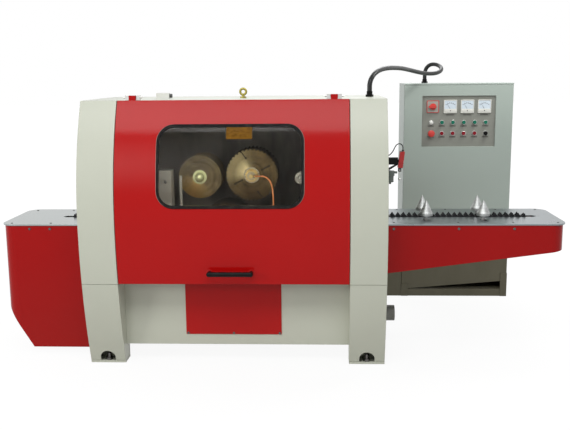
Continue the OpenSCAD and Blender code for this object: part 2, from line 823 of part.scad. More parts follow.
module front_door() color(red) centred() {
  x = half_door - door_gap;
  z0 = seam_z + 2;
  difference() {
    union() {
      difference() {
        front_block(-x, x, z0, body_top, 0, 0);
        front_block(-x - 1, x + 1, z0 - 1, body_top + 1, 1, door_t);
      }
      both_sides() difference() {
        front_block(x - door_t, x, z0, body_top - 60, 0, 0);
        front_block(x - door_t - 1, x + 1, z0 - 1, body_top, 1, 40);
      }
      difference() {
        front_block(-x, x, z0, z0 + door_t, 0, 0);
        front_block(-x - 1, x + 1, z0 - 1, z0 + door_t + 1, 1, 40);
      }
      for (s = [-1, 1]) {
        translate([s * hinge_x, 0, 0]) hinge_leaf();
        rod_y(s * (handle_l / 2 - handle_d / 2) - 14, front_y(handle_z) - 5, handle_z, 34, 10);
      }
    }
    window_prism(gasket_w - 10);
    both_sides() rod_x(hinge_x - 40, hinge_y, hinge_z, hinge_pin_d + 2 * slip_play, 80);
  }
}

lock_x = -458;
lock_y = -43;
eye_x = 28;
eye_d = 50;
eye_hole = 22;
eye_lift = 38;
hinge_y = top_y + door_t + door_gap + 14;
hinge_z = body_top + 17;

// Knuckle of the door hinge, joined to the top edge of the door
module hinge_leaf() {
  rod_x(-20, hinge_y, hinge_z, 22, 40);
  span([-20, top_y + 0.5, body_top + 3], [20, hinge_y, hinge_z + 11]);
  span([-20, top_y + 0.5, body_top - 20], [20, top_y + door_t, body_top + 5]);
}

module hinge_blocks() color(steel) centred()
  for (s = [-1, 1]) translate([s * hinge_x, 0, 0]) {
    for (e = [-1, 1])
      span([min(e * 21, e * 43), hinge_y - 13, body_top], [max(e * 21, e * 43), hinge_y + 13, hinge_z + 12]);
    rod_x(-54, hinge_y, hinge_z, hinge_pin_d, 108);
  }

// Prism through the window, set in from the gasket's outer edge
module window_prism(inset) {
  translate([-8, -200, window_z]) rotate([90, 0, 0])
    linear_extrude(front_reach) rounded(window_w - 2 * inset, window_h - 2 * inset, window_corner - inset);
}

// Curved layer of the front between two depths, cut to the window region
module window_layer(out, deep) difference() {
  w = window_w / 2 + 20;
  h = window_h / 2 + 10;
  front_block(-8 - w, -8 + w, window_z - h, window_z + h, -200, out);
  front_block(-9 - w, -7 + w, window_z - h - 1, window_z + h + 1, -199, deep);
}

module window_gasket() color(black) centred() {
  difference() {
    intersection() {
      window_layer(-7, 0);
      window_prism(0);
    }
    window_prism(gasket_w);
  }
  difference() {
    intersection() {
      window_layer(-1, door_t + 4);
      window_prism(gasket_w - 9.5);
    }
    window_prism(gasket_w);
  }
}

module window_pane() color([0.3, 0.3, 0.3, 0.4]) centred()
  intersection() {
    window_layer(0, 5);
    window_prism(gasket_w + 0.1);
  }

module door_handle() color(black) centred() {
  y = -front_reach - handle_reach + handle_d / 2;
  pad = front_y(handle_z) - 5;
  x = handle_l / 2 - handle_d / 2;
  rod_x(-x - 14, y, handle_z, handle_d, 2 * x);
  for (s = [-1, 1]) {
    translate([s * x - 14, y, handle_z]) sphere(d = handle_d);
    rod_y(s * x - 14, y, handle_z, handle_d - 4, pad - y);
  }
}

module interlock_switch() color(steel) centred() {
  span([lock_x - 40, lock_y - 17, body_top], [lock_x + 40, lock_y + 17, body_top + 34]);
  rod_x(lock_x + 40, lock_y, body_top + 17, 24, 16);
}

module lifting_eye() color(gold) centred() translate([eye_x, 0, body_top]) {
  cylinder(d = eye_d - 12, h = 8);
  cylinder(d = 18, h = eye_lift - eye_hole / 2 - 4);
  translate([0, 0, eye_lift]) rotate([90, 0, 0]) rotate_extrude()
    translate([(eye_d + eye_hole) / 4, 0]) circle(d = (eye_d - eye_hole) / 2);
}

// Gland nut, body and cap under a cord
module gland(h) {
  cylinder(d = conduit_d + 18, h = h * 0.4, $fn = 6);
  cylinder(d = conduit_d + 6, h = h);
}

module conduit_glands() color(black) centred() {
  translate([gland_x, gland_y, body_top]) gland(gland_h);
  translate([cab_gland_x, cab_gland_y, cab_top]) gland(cab_gland_h);
}

// Point of a smooth curve through p[i], p[i+1] at t
function blend(a, b, c, d, t) = 0.5 * (2 * b + (c - a) * t + (2 * a - 5 * b + 4 * c - d) * t * t
  + (3 * b - a - 3 * c + d) * t * t * t);
function curve(p, n) = let (e = len(p) - 1) concat([p[0]],
  [for (i = [1 : e - 2], k = [0 : n - 1]) blend(p[max(i - 1, 0)], p[i], p[i + 1], p[min(i + 2, e)], k / n)],
  [p[e - 1], p[e]]);
function unit(v) = v / norm(v);
function heading(q, i) = i == 0 ? unit(q[1] - q[0]) :
  i == len(q) - 1 ? unit(q[i] - q[i - 1]) : unit(unit(q[i + 1] - q[i]) + unit(q[i] - q[i - 1]));
function side_of(n, t) = unit(n - t * (n * t));

// Tube of diameter d swept along a route with n steps per stretch
module cord(route, d, sides, n, first_side) {
  q = curve(route, n);
  count = len(q);
  normals = [for (i = 0, s = side_of(first_side, heading(q, 0)); i < count;
    i = i + 1, s = i < count ? side_of(s, heading(q, i)) : s) s];
  rings = [for (i = [0 : count - 1], k = [0 : sides - 1]) let (a = k * 360 / sides)
    q[i] + d / 2 * (normals[i] * cos(a) + cross(heading(q, i), normals[i]) * sin(a))];
  walls = [for (i = [0 : count - 2], k = [0 : sides - 1])
    [i * sides + k, (i + 1) * sides + k, (i + 1) * sides + (k + 1) % sides, i * sides + (k + 1) % sides]];
  polyhedron(points = rings, faces = concat(
    [[for (k = [0 : sides - 1]) k]],
    [for (f = walls, t = [[0, 1, 2], [0, 2, 3]]) [f[t[0]], f[t[1]], f[t[2]]]],
    [[for (k = [sides - 1 : -1 : 0]) (count - 1) * sides + k]]), convexity = 8);
}

// Least distance between stretches of a route that lie at least apart points from each other
function self_gap(q, apart, d) = min([for (i = [0 : len(q) - 1], j = [0 : len(q) - 1])
  if (j - i > apart) norm(q[i] - q[j]) - d]);
echo(conduit_least_gap = self_gap(curve(conduit_route, 3), 15, conduit_d));

module power_conduit() color(black) centred() cord(conduit_route, conduit_d, 10, 2, [1, 0, 0]);

module coolant_tube() color([0.72, 0.40, 0.22]) centred() cord(tube_route, tube_d, 8, 2, [0, 0, 1]);

module switch_cable() color(black) centred() cord(cable_route, cable_d, 8, 2, [0, 1, 0]);

module switch_bracket() color(black) centred() {
  x1 = half_body + arm_l;
  difference() {
    span([half_body, arm_y - arm_w / 2, arm_z - arm_w / 2], [x1, arm_y + arm_w / 2, arm_z + arm_w / 2]);
    span([half_body + 8, arm_y - arm_w / 2 + 4, arm_z - arm_w / 2 + 4],
      [x1 + 1, arm_y + arm_w / 2 - 4, arm_z + arm_w / 2 - 4]);
  }
  translate([0, arm_y + 8, 0]) rotate([90, 0, 0]) linear_extrude(16)
    polygon([[half_body, arm_z - 78], [half_body, arm_z - 62], [x1 - 12, arm_z - arm_w / 2 + 1],
      [x1, arm_z - arm_w / 2 + 1], [x1, arm_z - arm_w / 2 - 3]]);
  span([x1 - 4, arm_y - 16, arm_z - 16], [x1, arm_y + 16, arm_z + arm_w / 2]);
  span([x1, arm_y - 12, arm_z - 8], [switch_x - 7, arm_y + 12, arm_z + 8]);
}

// Tilted switch box with a cable neck on top and lever cheeks below
module limit_switch() color(red) centred() {
  difference() {
    union() {
      translate([switch_x, arm_y, arm_z + 8]) rotate([0, tilt, 0]) {
        span([-switch_half, -24, -50], [switch_half, 24, 50]);
        span([-switch_half - 2, -26, -20], [switch_half + 2, 26, -16]);
      }
      rod_z(switch_x + 10, arm_y, arm_z + 48, cable_d + 8, cable_top - arm_z - 48);
      for (s = [-1, 1])
        span([switch_x - 17, arm_y + s * 9 - 3, lever_z - 10],
          [switch_x + 1, arm_y + s * 9 + 3, lever_z + 16]);
    }
    rod_y(switch_x - 8, arm_y - 30, lever_z, 6 + 2 * slip_play, 60);
    span([half_body + arm_l, arm_y - 12.1, arm_z - 8.1], [switch_x - 7, arm_y + 12.1, arm_z + 8.1]);
  }
}

module switch_lever() color(steel) centred() {
  x = switch_x - 8;
  rod_y(x, arm_y - 14, lever_z, 6, 28);
  rod_y(x, arm_y - 5, lever_z, 14, 10);
  rod_z(x, arm_y, lever_z - 50, 5, 50);
  translate([x, arm_y, lever_z - 56]) sphere(d = 16);
}

module filter_bowl() color(panel_grey) centred() {
  x = half_body + 40;
  y = arm_y - 42;
  span([half_body, y - 20, arm_z - 81], [x, y + 20, arm_z - 57]);
  rod_z(x, y, arm_z - 85, bowl_d + 10, 30);
  rod_z(x, y, arm_z - 123, bowl_d, 38);
  rod_z(x, y, arm_z - 135, 14, 12);
  rod_x(x + 20, y, arm_z - 65, 14, 22);
}

module dust_spigot() color(panel_grey) centred() {
  difference() {
    union() {
      rod_x(half_door, 0, duct_z, duct_d, duct_l);
      rod_x(half_door, 0, duct_z, duct_d + 32, 8);
    }
    rod_x(half_door - 1, 0, duct_z, duct_bore, duct_l + 2);
  }
}

module guide_block() color(grey) centred() {
  difference() {
    span([guide_x - 46, guide_y - 45, bed_z], [guide_x + 46, guide_y + 45, bed_z + guide_h]);
    rod_y(guide_x + 12, guide_y - 46, bed_z + guide_h - 66, 18, 40);
  }
  span([guide_x + 88, guide_y - 7, bed_z], [guide_x + 102, guide_y + 7, bed_z + guide_h - 34]);
  span([roller_x - 15, guide_y - 7, bed_z], [roller_x + 15, guide_y + 23, bed_z + guide_h - 74]);
  difference() {
    rod_y(roller_x, guide_y - 15, bed_z + guide_h - 46, 72, 40);
    rod_y(roller_x, guide_y - 16, bed_z + guide_h - 46, 22, 20);
  }
}

module cabinet_body() color(grey) centred() {
  y0 = cab_front + cab_door_t + 3;
  x1 = cab_x + cab_w;
  difference() {
    union() {
      difference() {
        span([cab_x, y0, cab_low], [x1, cab_back, cab_top]);
        span([cab_x + cab_wall, y0 - 1, cab_low + cab_wall],
          [x1 - cab_wall, cab_back - cab_wall, cab_top - cab_wall]);
      }
      span([cab_x, cab_front, cab_top - lip], [x1, y0 + 30, cab_top]);
      translate([0, cab_front + cab_door_t, 0]) rotate([90, 0, 0]) linear_extrude(cab_door_t)
        polygon([[cab_x, cab_low], [cab_x + 53, cab_low], [x1 - 58, cab_low + 58], [x1, cab_low + 58],
          [x1, door_low - 3], [cab_x, door_low - 3]]);
      span([cab_x, cab_front, door_low - 23], [x1, y0 + 10, door_low - 3]);
      span([cab_x + 60, cab_back - 24, 560], [x1 - 60, cab_back - 20, 1500]);
      for (x = [cab_x + 100, x1 - 100], z = [600, 1460])
        rod_y(x, cab_back - 22, z, 20, 20);
    }
    for (z = [door_low - 14, cab_top - lip - 1])
      rod_z(pivot_x, pivot_y, z, pivot_d + 2 * run_play, 12);
  }
}

module cabinet_plinth() color(grey) centred() {
  x1 = cab_x + cab_w;
  rail = plinth_rail;
  for (y = [cab_front, cab_back - rail])
    span([cab_x - trunk_l, y, 0], [x1, y + rail, plinth_h]);
  for (x = [cab_x - trunk_l, x1 - rail])
    span([x, cab_front, 0], [x + rail, cab_back, plinth_h]);
  span([cab_x - 2, cab_front - 6, 0], [cab_x + 48, cab_front, 94]);
  span([x1 - 48, cab_front - 6, 0], [x1 + 2, cab_front, 182]);
  for (x = [cab_x, x1 - rail])
    span([x, cab_front + cab_door_t + 3, plinth_h - 1], [x + rail, cab_back, cab_low]);
  span([cab_x - trunk_l, cab_front, plinth_h - 1], [cab_x - 3, cab_front + trunk_d, trunk_top]);
}

module cabinet_door() color(grey) centred() difference() {
  union() {
    difference() {
      span([door_x0, cab_front, door_low], [door_x1, cab_front + cab_door_t, door_z1]);
      span([door_x0 + 4, cab_front + 4, door_low + 4],
        [door_x1 - 16, cab_front + cab_door_t + 1, door_z1 - 4]);
    }
    span([panel_x0 - 5, cab_front + 2, panel_z0 - 5], [panel_x1 + 5, panel_face + panel_t, panel_z1 + 5]);
    rod_z(pivot_x, pivot_y, door_low - 12, pivot_d, 16);
    rod_z(pivot_x, pivot_y, door_z1 - 4, pivot_d, 14);
  }
  span([panel_x0, cab_front - 1, panel_z0], [panel_x1, panel_face, panel_z1]);
  for (c = concat(button_spots(), [[lamp_x, row_2]]))
    rod_y(c[0], panel_face - 1, c[1], cap_d + 2 * slip_play, panel_t + 2);
  for (c = [[main_x, meter_z], [selector_x, row_2]])
    rod_y(c[0], panel_face - 1, c[1], knob_stem + 2 * slip_play, panel_t + 2);
}

selector_x = lamp_x + 5 * button_step;
function button_spots() = concat([for (i = [1 : 5]) [lamp_x + i * button_step, row_1]],
  [for (i = [1 : 4]) [lamp_x + i * button_step, row_2]]);

// Meters, bezels, lamp and the main switch plate on the panel face
module panel_fittings() color(black) centred() {
  for (x = meter_x)
    span([x - meter_w / 2, panel_face - 12, meter_z - meter_w / 2],
      [x + meter_w / 2, panel_face, meter_z + meter_w / 2]);
  for (c = concat(button_spots(), [[lamp_x, row_2]]))
    ring_y(c[0], panel_face - bezel_t, c[1], bezel_d, cap_d + 2 * slip_play, bezel_t);
  ring_y(selector_x, panel_face - bezel_t, row_2, bezel_d, knob_stem + 2 * slip_play, bezel_t);
  rod_y(lamp_x, panel_face - bezel_t, row_1, bezel_d, bezel_t);
  rod_y(lamp_x, panel_face - bezel_t - 7, row_1, cap_d, 8);
  difference() {
    span([main_x - main_w / 2, panel_face - 8, meter_z - main_w / 2],
      [main_x + main_w / 2, panel_face, meter_z + main_w / 2]);
    rod_y(main_x, panel_face - 9, meter_z, knob_stem + 2 * slip_play, 10);
  }
}

// Push button with its plunger through the panel
module push_button(c) centred() {
  proud = button_travel + 2;
  rod_y(c[0], panel_face - bezel_t - proud, c[1], cap_d, bezel_t + panel_t + 2 * proud);
}

module green_button_1() color([0.1, 0.5, 0.35]) push_button([lamp_x + button_step, row_1]);
module green_button_2() color([0.1, 0.5, 0.35]) push_button([lamp_x + 2 * button_step, row_1]);
module green_button_3() color([0.1, 0.5, 0.35]) push_button([lamp_x + 3 * button_step, row_1]);
module green_button_4() color([0.1, 0.5, 0.35]) push_button([lamp_x + 4 * button_step, row_1]);
module green_button_5() color([0.1, 0.5, 0.35]) push_button([lamp_x + 5 * button_step, row_1]);
module red_button_1() color([0.55, 0.08, 0.1]) push_button([lamp_x + button_step, row_2]);
module red_button_2() color([0.55, 0.08, 0.1]) push_button([lamp_x + 2 * button_step, row_2]);
module red_button_3() color([0.55, 0.08, 0.1]) push_button([lamp_x + 3 * button_step, row_2]);
module red_button_4() color([0.55, 0.08, 0.1]) push_button([lamp_x + 4 * button_step, row_2]);

module stop_mushroom() color([0.75, 0.15, 0.12]) centred() {
  y = panel_face - bezel_t;
  rod_y(lamp_x, y - 12, row_2, cap_d, bezel_t + 12 + panel_t + 6);
  rod_y(lamp_x, y - 24, row_2, stop_d, 13);
  intersection() {
    translate([lamp_x, y - 24 + 60, row_2]) sphere(r = 68);
    rod_y(lamp_x, y - 34, row_2, stop_d, 11);
  }
}

module selector_knob() color(black) centred() {
  y = panel_face - bezel_t - 1;
  rod_y(selector_x, y - 10, row_2, bezel_d - 6, 10);
  span([selector_x - 5, y - 22, row_2 - 15], [selector_x + 5, y - 9, row_2 + 15]);
  rod_y(selector_x, y - 2, row_2, knob_stem, bezel_t + panel_t + 9);
}

module main_switch_knob() color([0.75, 0.12, 0.1]) centred() {
  y = panel_face - 9;
  rod_y(main_x, y - 10, meter_z, 48, 10);
  span([main_x - 34, y - 28, meter_z - 8], [main_x + 22, y - 9, meter_z + 8]);
  rod_y(main_x, y - 2, meter_z, knob_stem, 9 + panel_t + 8);
}

// Centring cone on a post, held to the plate by a collar above and a foot below
module cone(x, y) centred() translate([x, y, 0]) {
  rod_z(0, 0, cone_base, cone_d, cone_rim);
  translate([0, 0, cone_base + cone_rim]) cylinder(d1 = cone_d, d2 = 1.5, h = cone_h);
  rod_z(0, 0, table_z - plate_t - 12, post_d, cone_base - table_z + plate_t + 13);
  rod_z(0, 0, table_z, post_d + 14, 7);
  rod_z(0, 0, table_z - plate_t - 12, post_d + 14, 11.7);
}

module cone_front_1() color(steel) cone(cone_x[0], -cone_y);
module cone_rear_1() color(steel) cone(cone_x[0], cone_y);
module cone_front_2() color(steel) cone(cone_x[1], -cone_y);
module cone_rear_2() color(steel) cone(cone_x[1], cone_y);

base_frame();
front_legs();
side_columns();
top_cover();
access_panel();
fasteners();
table_skirts();
table_plates();
chain_rail();
feed_chain();
bearing_housings();
drive_motors();
coolant_union();
coolant_tube();
hinge_blocks();
interlock_switch();
lifting_eye();
conduit_glands();
power_conduit();
switch_bracket();
limit_switch();
switch_cable();
filter_bowl();
dust_spigot();
cabinet_body();
cabinet_plinth();
guide_block();
front_door();
window_pane();
window_gasket();
door_handle();
upper_arbor();
upper_blades();
upper_nut();
lower_arbor();
lower_blades();
guide_shaft();
guide_discs();
guide_nut();
drive_sprocket();
idler_sprocket();
cone_front_1();
cone_rear_1();
cone_front_2();
cone_rear_2();
switch_lever();
cabinet_door();
panel_fittings();
green_button_1();
green_button_2();
green_button_3();
green_button_4();
green_button_5();
red_button_1();
red_button_2();
red_button_3();
red_button_4();
stop_mushroom();
selector_knob();
main_switch_knob();
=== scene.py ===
# %% [markdown]
# # A multi rip saw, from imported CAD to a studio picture
# A multi rip saw cuts a log into boards in one pass: a spiked chain carries the log through a closed
# body, where toothed blades sit side by side on two arbors. The solids come from the CAD model and stay
# where they are. This lesson gives them paint, steel, rubber and glass, adds the small pieces that only
# matter to the eye, and sets the light and the camera.

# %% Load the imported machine
import math

import bmesh
import bpy
from mathutils import Matrix, Vector


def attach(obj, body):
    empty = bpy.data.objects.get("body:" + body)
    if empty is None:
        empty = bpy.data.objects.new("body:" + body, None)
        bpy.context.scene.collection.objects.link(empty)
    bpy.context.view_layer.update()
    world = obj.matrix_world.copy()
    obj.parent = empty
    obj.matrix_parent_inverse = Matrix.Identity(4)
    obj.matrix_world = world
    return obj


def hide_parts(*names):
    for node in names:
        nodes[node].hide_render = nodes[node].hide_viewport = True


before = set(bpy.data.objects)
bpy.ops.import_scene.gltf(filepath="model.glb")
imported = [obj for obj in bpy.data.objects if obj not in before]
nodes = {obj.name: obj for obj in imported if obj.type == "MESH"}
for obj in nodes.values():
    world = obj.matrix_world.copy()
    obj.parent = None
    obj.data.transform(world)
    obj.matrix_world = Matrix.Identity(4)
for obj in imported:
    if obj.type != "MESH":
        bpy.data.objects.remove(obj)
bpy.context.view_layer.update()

# %% [markdown]
# The sizes on this machine are easiest to read in millimetres from the middle of the feed line, with the
# floor at zero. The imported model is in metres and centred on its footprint. Every number could be typed
# in metres, but one small function that turns the first into the second keeps the numbers readable.

# %% From machine millimetres to scene metres
FOOTPRINT_MIDDLE = (257.5, 456.0)
TABLE_HEIGHT = 820


def spot(x, y, z):
    return Vector(((x - FOOTPRINT_MIDDLE[0]) / 1000, (y - FOOTPRINT_MIDDLE[1]) / 1000, z / 1000))


print("feed line over the floor:", tuple(round(v, 3) for v in spot(0, 0, TABLE_HEIGHT)))

# %% [markdown]
# The camera stands at eye height about five metres in front of the door, a little right of its middle,
# and looks down by ten degrees. A Track To constraint could aim it, but it always keeps the horizon level.
# Here its axes are built from yaw, pitch and roll, so that the verticals lean exactly as a lens of this
# length shows them.

# %% Camera
LENS_PIXELS, IMAGE_WIDTH, SENSOR, VIEW_END = 800, 570, 36.0, 200
CAMERA_PLACE = (496, -4937, 1700)
CAMERA_TURN = (-2.534, 10.009, -0.503)
yaw, pitch, roll = (math.radians(angle) for angle in CAMERA_TURN)
ahead = Vector((math.sin(yaw) * math.cos(pitch), math.cos(yaw) * math.cos(pitch), -math.sin(pitch)))
level = Vector((math.cos(yaw), -math.sin(yaw), 0))
over = level.cross(ahead)
right = level * math.cos(roll) + over * math.sin(roll)
up = over * math.cos(roll) - level * math.sin(roll)
lens = bpy.data.cameras.new("camera")
lens.sensor_fit, lens.sensor_width = "HORIZONTAL", SENSOR
lens.lens = LENS_PIXELS / IMAGE_WIDTH * SENSOR
lens.clip_end = VIEW_END
camera = bpy.data.objects.new("camera", lens)
axes = Matrix((right, up, -ahead)).transposed().to_4x4()
camera.matrix_world = Matrix.Translation(spot(*CAMERA_PLACE)) @ axes
scene = bpy.context.scene
scene.collection.objects.link(camera)
scene.camera = camera
print("lens:", round(lens.lens, 2), "mm")

# %% [markdown]
# Three cords hang on the machine: the black conduit from the right column to the cabinet, the thin
# copper-coloured coolant tube behind the window and the cable of the limit switch. Each one follows the
# points that the CAD model uses, on a smooth curve through them. Blender's own smooth curves would round
# the route in their own way, so the points between are worked out here. The first and the last stretch
# stay straight, because there the cord leaves its gland or fitting.

# %% Curve through route points
ROUTE_STEPS = 12


def smooth_route(points):
    pts = [Vector(p) for p in points]
    last = len(pts) - 1
    line = [pts[0]]
    for i in range(1, last - 1):
        a, b, c, d = pts[i - 1:i + 3]
        for k in range(ROUTE_STEPS):
            t = k / ROUTE_STEPS
            line.append(0.5 * (2 * b + (c - a) * t + (2 * a - 5 * b + 4 * c - d) * t**2
                               + (3 * b - a - 3 * c + d) * t**3))
    return line + [pts[last - 1], pts[last]]


print("steps between two route points:", ROUTE_STEPS)

# %% [markdown]
# A poly curve with a round bevel keeps its own centreline, which makes the length of a cord easy to
# measure. A cord could also be a mesh swept by hand, but the curve keeps its path as points that can be
# read again. Each cord gets its thickness from the bevel and stands for a plain tube of the CAD model.

# %% Cord along a route
BEVEL_STEPS = 5


def make_cord(name, route, diameter, replaced, finish):
    line = smooth_route([spot(*p) for p in route])
    data = bpy.data.curves.new(name, "CURVE")
    data.dimensions = "3D"
    data.bevel_depth, data.bevel_resolution, data.use_fill_caps = diameter / 2000, BEVEL_STEPS, True
    spline = data.splines.new("POLY")
    spline.points.add(len(line) - 1)
    for point, co in zip(spline.points, line):
        point.co = (*co, 1)
    spline.use_smooth = True
    data.materials.append(finish)
    made = bpy.data.objects.new(name, data)
    scene.collection.objects.link(made)
    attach(made, "frame")
    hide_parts(replaced)


print("steps in the round of a cord:", BEVEL_STEPS)

# %% [markdown]
# The routes repeat the points of the CAD model. The conduit rises from its gland, bows over to the
# cabinet and makes one loop before it goes in. The coolant tube leaves the blade arbor's nose and drops
# in front of the blades, and the switch cable is a short bow. They could be drawn by hand in the view,
# but then they would not lie exactly where the solids are.

# %% Route points
CONDUIT_ROUTE = [
    (802, 55, 1591), (802, 55, 1622), (806, 61, 1648), (817, 78, 1673), (836, 112, 1696), (864, 168, 1714),
    (902, 250, 1726), (952, 366, 1732), (1010, 510, 1732), (1066, 650, 1728), (1124, 795, 1719),
    (1192, 925, 1706), (1254, 1030, 1696), (1308, 1106, 1692), (1352, 1164, 1694), (1388, 1214, 1702),
    (1412, 1260, 1715), (1421, 1304, 1731), (1414, 1344, 1747), (1395, 1378, 1759), (1370, 1405, 1763),
    (1347, 1424, 1756), (1328, 1437, 1737), (1318, 1444, 1710), (1315, 1446, 1681), (1315, 1446, 1650)]
COOLANT_ROUTE = [
    (105, -182.5, 1095), (119, -182.5, 1095), (137, -183.5, 1096), (155, -186.5, 1096), (172, -190.5, 1091),
    (187, -194.5, 1081), (199, -198.5, 1066), (207, -201.5, 1047), (212, -203.5, 1025), (215, -205.5, 1000),
    (217, -206, 970), (218, -207, 940), (218, -207, 910), (218, -207, 874), (218, -207, 860)]
SWITCH_CABLE_ROUTE = [
    (878, -114, 1206), (890, -114, 1206), (908, -114, 1210), (924, -114, 1222), (937, -112, 1240),
    (947, -110, 1260), (960, -106, 1276), (978, -102, 1280), (992, -100, 1269), (996, -100, 1253),
    (996, -100, 1243)]
print("route points:", len(CONDUIT_ROUTE), len(COOLANT_ROUTE), len(SWITCH_CABLE_ROUTE))

# %% [markdown]
# ## Shader helpers
# Every finish here is built from the same few parts: a texture in object space, some arithmetic and one
# Principled surface. The Shader Editor could join them by hand. Small functions keep each material short
# enough to read, and the same finish comes out on every run.

# %% Nodes and sums
def fill(tree, socket, value):
    if isinstance(value, bpy.types.NodeSocket):
        tree.links.new(value, socket)
    else:
        socket.default_value = value


def add(tree, kind, sockets=None, **settings):
    made = tree.nodes.new(kind)
    for name, value in settings.items():
        setattr(made, name, value)
    for name, value in (sockets or {}).items():
        fill(tree, made.inputs[name], value)
    return made


def calc(tree, operation, a, b=0.0):
    made = add(tree, "ShaderNodeMath", operation=operation)
    fill(tree, made.inputs[0], a)
    fill(tree, made.inputs[1], b)
    return made.outputs[0]


def vector_calc(tree, operation, a, b=(0, 0, 0)):
    made = add(tree, "ShaderNodeVectorMath", operation=operation)
    fill(tree, made.inputs[0], a)
    fill(tree, made.inputs["Scale" if operation == "SCALE" else 1], b)
    return made.outputs["Value" if operation in ("DOT_PRODUCT", "LENGTH") else "Vector"]


def axis_of(tree, vector, axis):
    return add(tree, "ShaderNodeSeparateXYZ", {"Vector": vector}).outputs[axis]


print("node helpers ready")

# %% [markdown]
# Colours are blended by a mask, values are spread from one range to another, and noise gives the clouds,
# stains and grains of nearly every finish. A Mix node has its own sockets for each data type, so the ones
# for colours are named here. Colour ramps would do some of this work, but two plain numbers are easier to
# compare between finishes.

# %% Blends, ranges and noise
MIX_FACTOR, MIX_A, MIX_B, MIX_RESULT = 0, 6, 7, 2


def blend_colour(tree, factor, a, b):
    made = add(tree, "ShaderNodeMix", data_type="RGBA")
    for index, value in ((MIX_FACTOR, factor), (MIX_A, a), (MIX_B, b)):
        fill(tree, made.inputs[index], value)
    return made.outputs[MIX_RESULT]


def spread(tree, value, low, high, out_low=0.0, out_high=1.0):
    return add(tree, "ShaderNodeMapRange", {"Value": value, "From Min": low, "From Max": high,
                                            "To Min": out_low, "To Max": out_high}).outputs[0]


def noise(tree, vector, scale, detail=3.0):
    return add(tree, "ShaderNodeTexNoise", {"Vector": vector, "Scale": scale, "Detail": detail}).outputs[0]


def rgb(red, green, blue):
    return (red, green, blue, 1.0)


print("blends, ranges and noise ready, mid grey is", rgb(0.5, 0.5, 0.5))

# %% [markdown]
# An effect that several finishes share is kept as a node group with named inputs. A group gives out only
# colours, masks, heights and normals. The surface itself stays in each material, so that every finish can
# be read and exported by itself. Copying the nodes into each material would work too, but then a change
# would have to be made many times.

# %% Node groups
VECTOR, COLOUR, NUMBER = "NodeSocketVector", "NodeSocketColor", "NodeSocketFloat"


def shader_group(name, inputs, outputs):
    group = bpy.data.node_groups.new(name, "ShaderNodeTree")
    for label, kind, default in inputs:
        group.interface.new_socket(label, in_out="INPUT", socket_type=kind).default_value = default
    for label, kind in outputs:
        group.interface.new_socket(label, in_out="OUTPUT", socket_type=kind)
    return group, group.nodes.new("NodeGroupInput").outputs, group.nodes.new("NodeGroupOutput").inputs


def use_group(tree, group, sockets):
    made = tree.nodes.new("ShaderNodeGroup")
    made.node_tree = group
    for name, value in sockets.items():
        fill(tree, made.inputs[name], value)
    return made.outputs


print("socket kinds:", VECTOR, COLOUR, NUMBER)

# %% [markdown]
# A material starts with one Principled surface and the position of each point on its object. A finish
# then feeds the surface a colour, a roughness and a bump, and a CAD node is dressed by putting the finish
# in its only slot. Slots could be assigned by hand, but a list of names shows at a glance what wears
# what.

# %% Materials and dressing
def material(name):
    made = bpy.data.materials.new(name)
    made.use_nodes = True
    tree = made.node_tree
    return made, tree, tree.nodes["Principled BSDF"], add(tree, "ShaderNodeTexCoord").outputs["Object"]


def bump(tree, height, distance, normal=None):
    made = add(tree, "ShaderNodeBump", {"Height": height, "Distance": distance, "Strength": 1.0})
    if normal is not None:
        fill(tree, made.inputs["Normal"], normal)
    return made.outputs[0]


def coat_surface(tree, surface, colour, look, depth, normal=None):
    fill(tree, surface.inputs["Base Color"], colour)
    fill(tree, surface.inputs["Roughness"], look["Roughness"])
    fill(tree, surface.inputs["Normal"], bump(tree, look["Height"], depth, normal))


def dress(finish, *names):
    for name in names:
        slots = nodes[name].data.materials
        slots.clear()
        slots.append(finish)
    print(finish.name, "on", len(names), "nodes")


print("nodes to dress:", len(nodes))

# %% [markdown]
# ## Paint
# Sprayed sheet metal is never one flat colour. It has soft clouds where the coat is thicker, an orange
# peel of fine dimples, a thin film of dust near the floor and faint scuffs. A photo of paint could show
# all that, but it would need an image and a map for every sheet. One group makes it from the position
# instead, so the red and the grey share it with their own values. Its scales are in features per metre.

# %% Paint skin group
CLOUD_SCALE, FILM_SCALE, GLOSS_SCALE, PEEL_SCALE, WAVE_SCALE = 2.1, 5.5, 55, 420, 4.5
SCUFF_STRETCH, SCUFF_SHARE = (16, 16, 220), 0.08
FILM_TOP, GLOSS_SWING, PEEL_SHARE = 0.60, 0.14, 0.06
paint_skin, gin, gout = shader_group(
    "paint skin",
    [("Position", VECTOR, (0, 0, 0)), ("Paint", COLOUR, rgb(0.5, 0.5, 0.5)),
     ("Film", COLOUR, rgb(0.3, 0.28, 0.24)), ("Clouds", NUMBER, 0.1), ("Floor film", NUMBER, 0.3),
     ("Gloss roughness", NUMBER, 0.3)],
    [("Colour", COLOUR), ("Roughness", NUMBER), ("Height", NUMBER)])
tree, place = paint_skin, gin["Position"]
cloud = calc(tree, "SUBTRACT", noise(tree, place, CLOUD_SCALE, 4), 0.5)
bright = calc(tree, "ADD", 1.0, calc(tree, "MULTIPLY", gin["Clouds"], cloud))
coat = vector_calc(tree, "SCALE", gin["Paint"], bright)
near_floor = spread(tree, axis_of(tree, place, "Z"), 0.0, FILM_TOP, 1.0, 0.0)
patchy = spread(tree, noise(tree, place, FILM_SCALE, 4), 0.2, 0.8, 0.5, 1.0)
film = calc(tree, "MULTIPLY", calc(tree, "MULTIPLY", near_floor, gin["Floor film"]), patchy)
scuff = noise(tree, vector_calc(tree, "MULTIPLY", place, SCUFF_STRETCH), 1.0, 5)
scuffs = calc(tree, "MULTIPLY", spread(tree, scuff, 0.68, 0.78), SCUFF_SHARE)
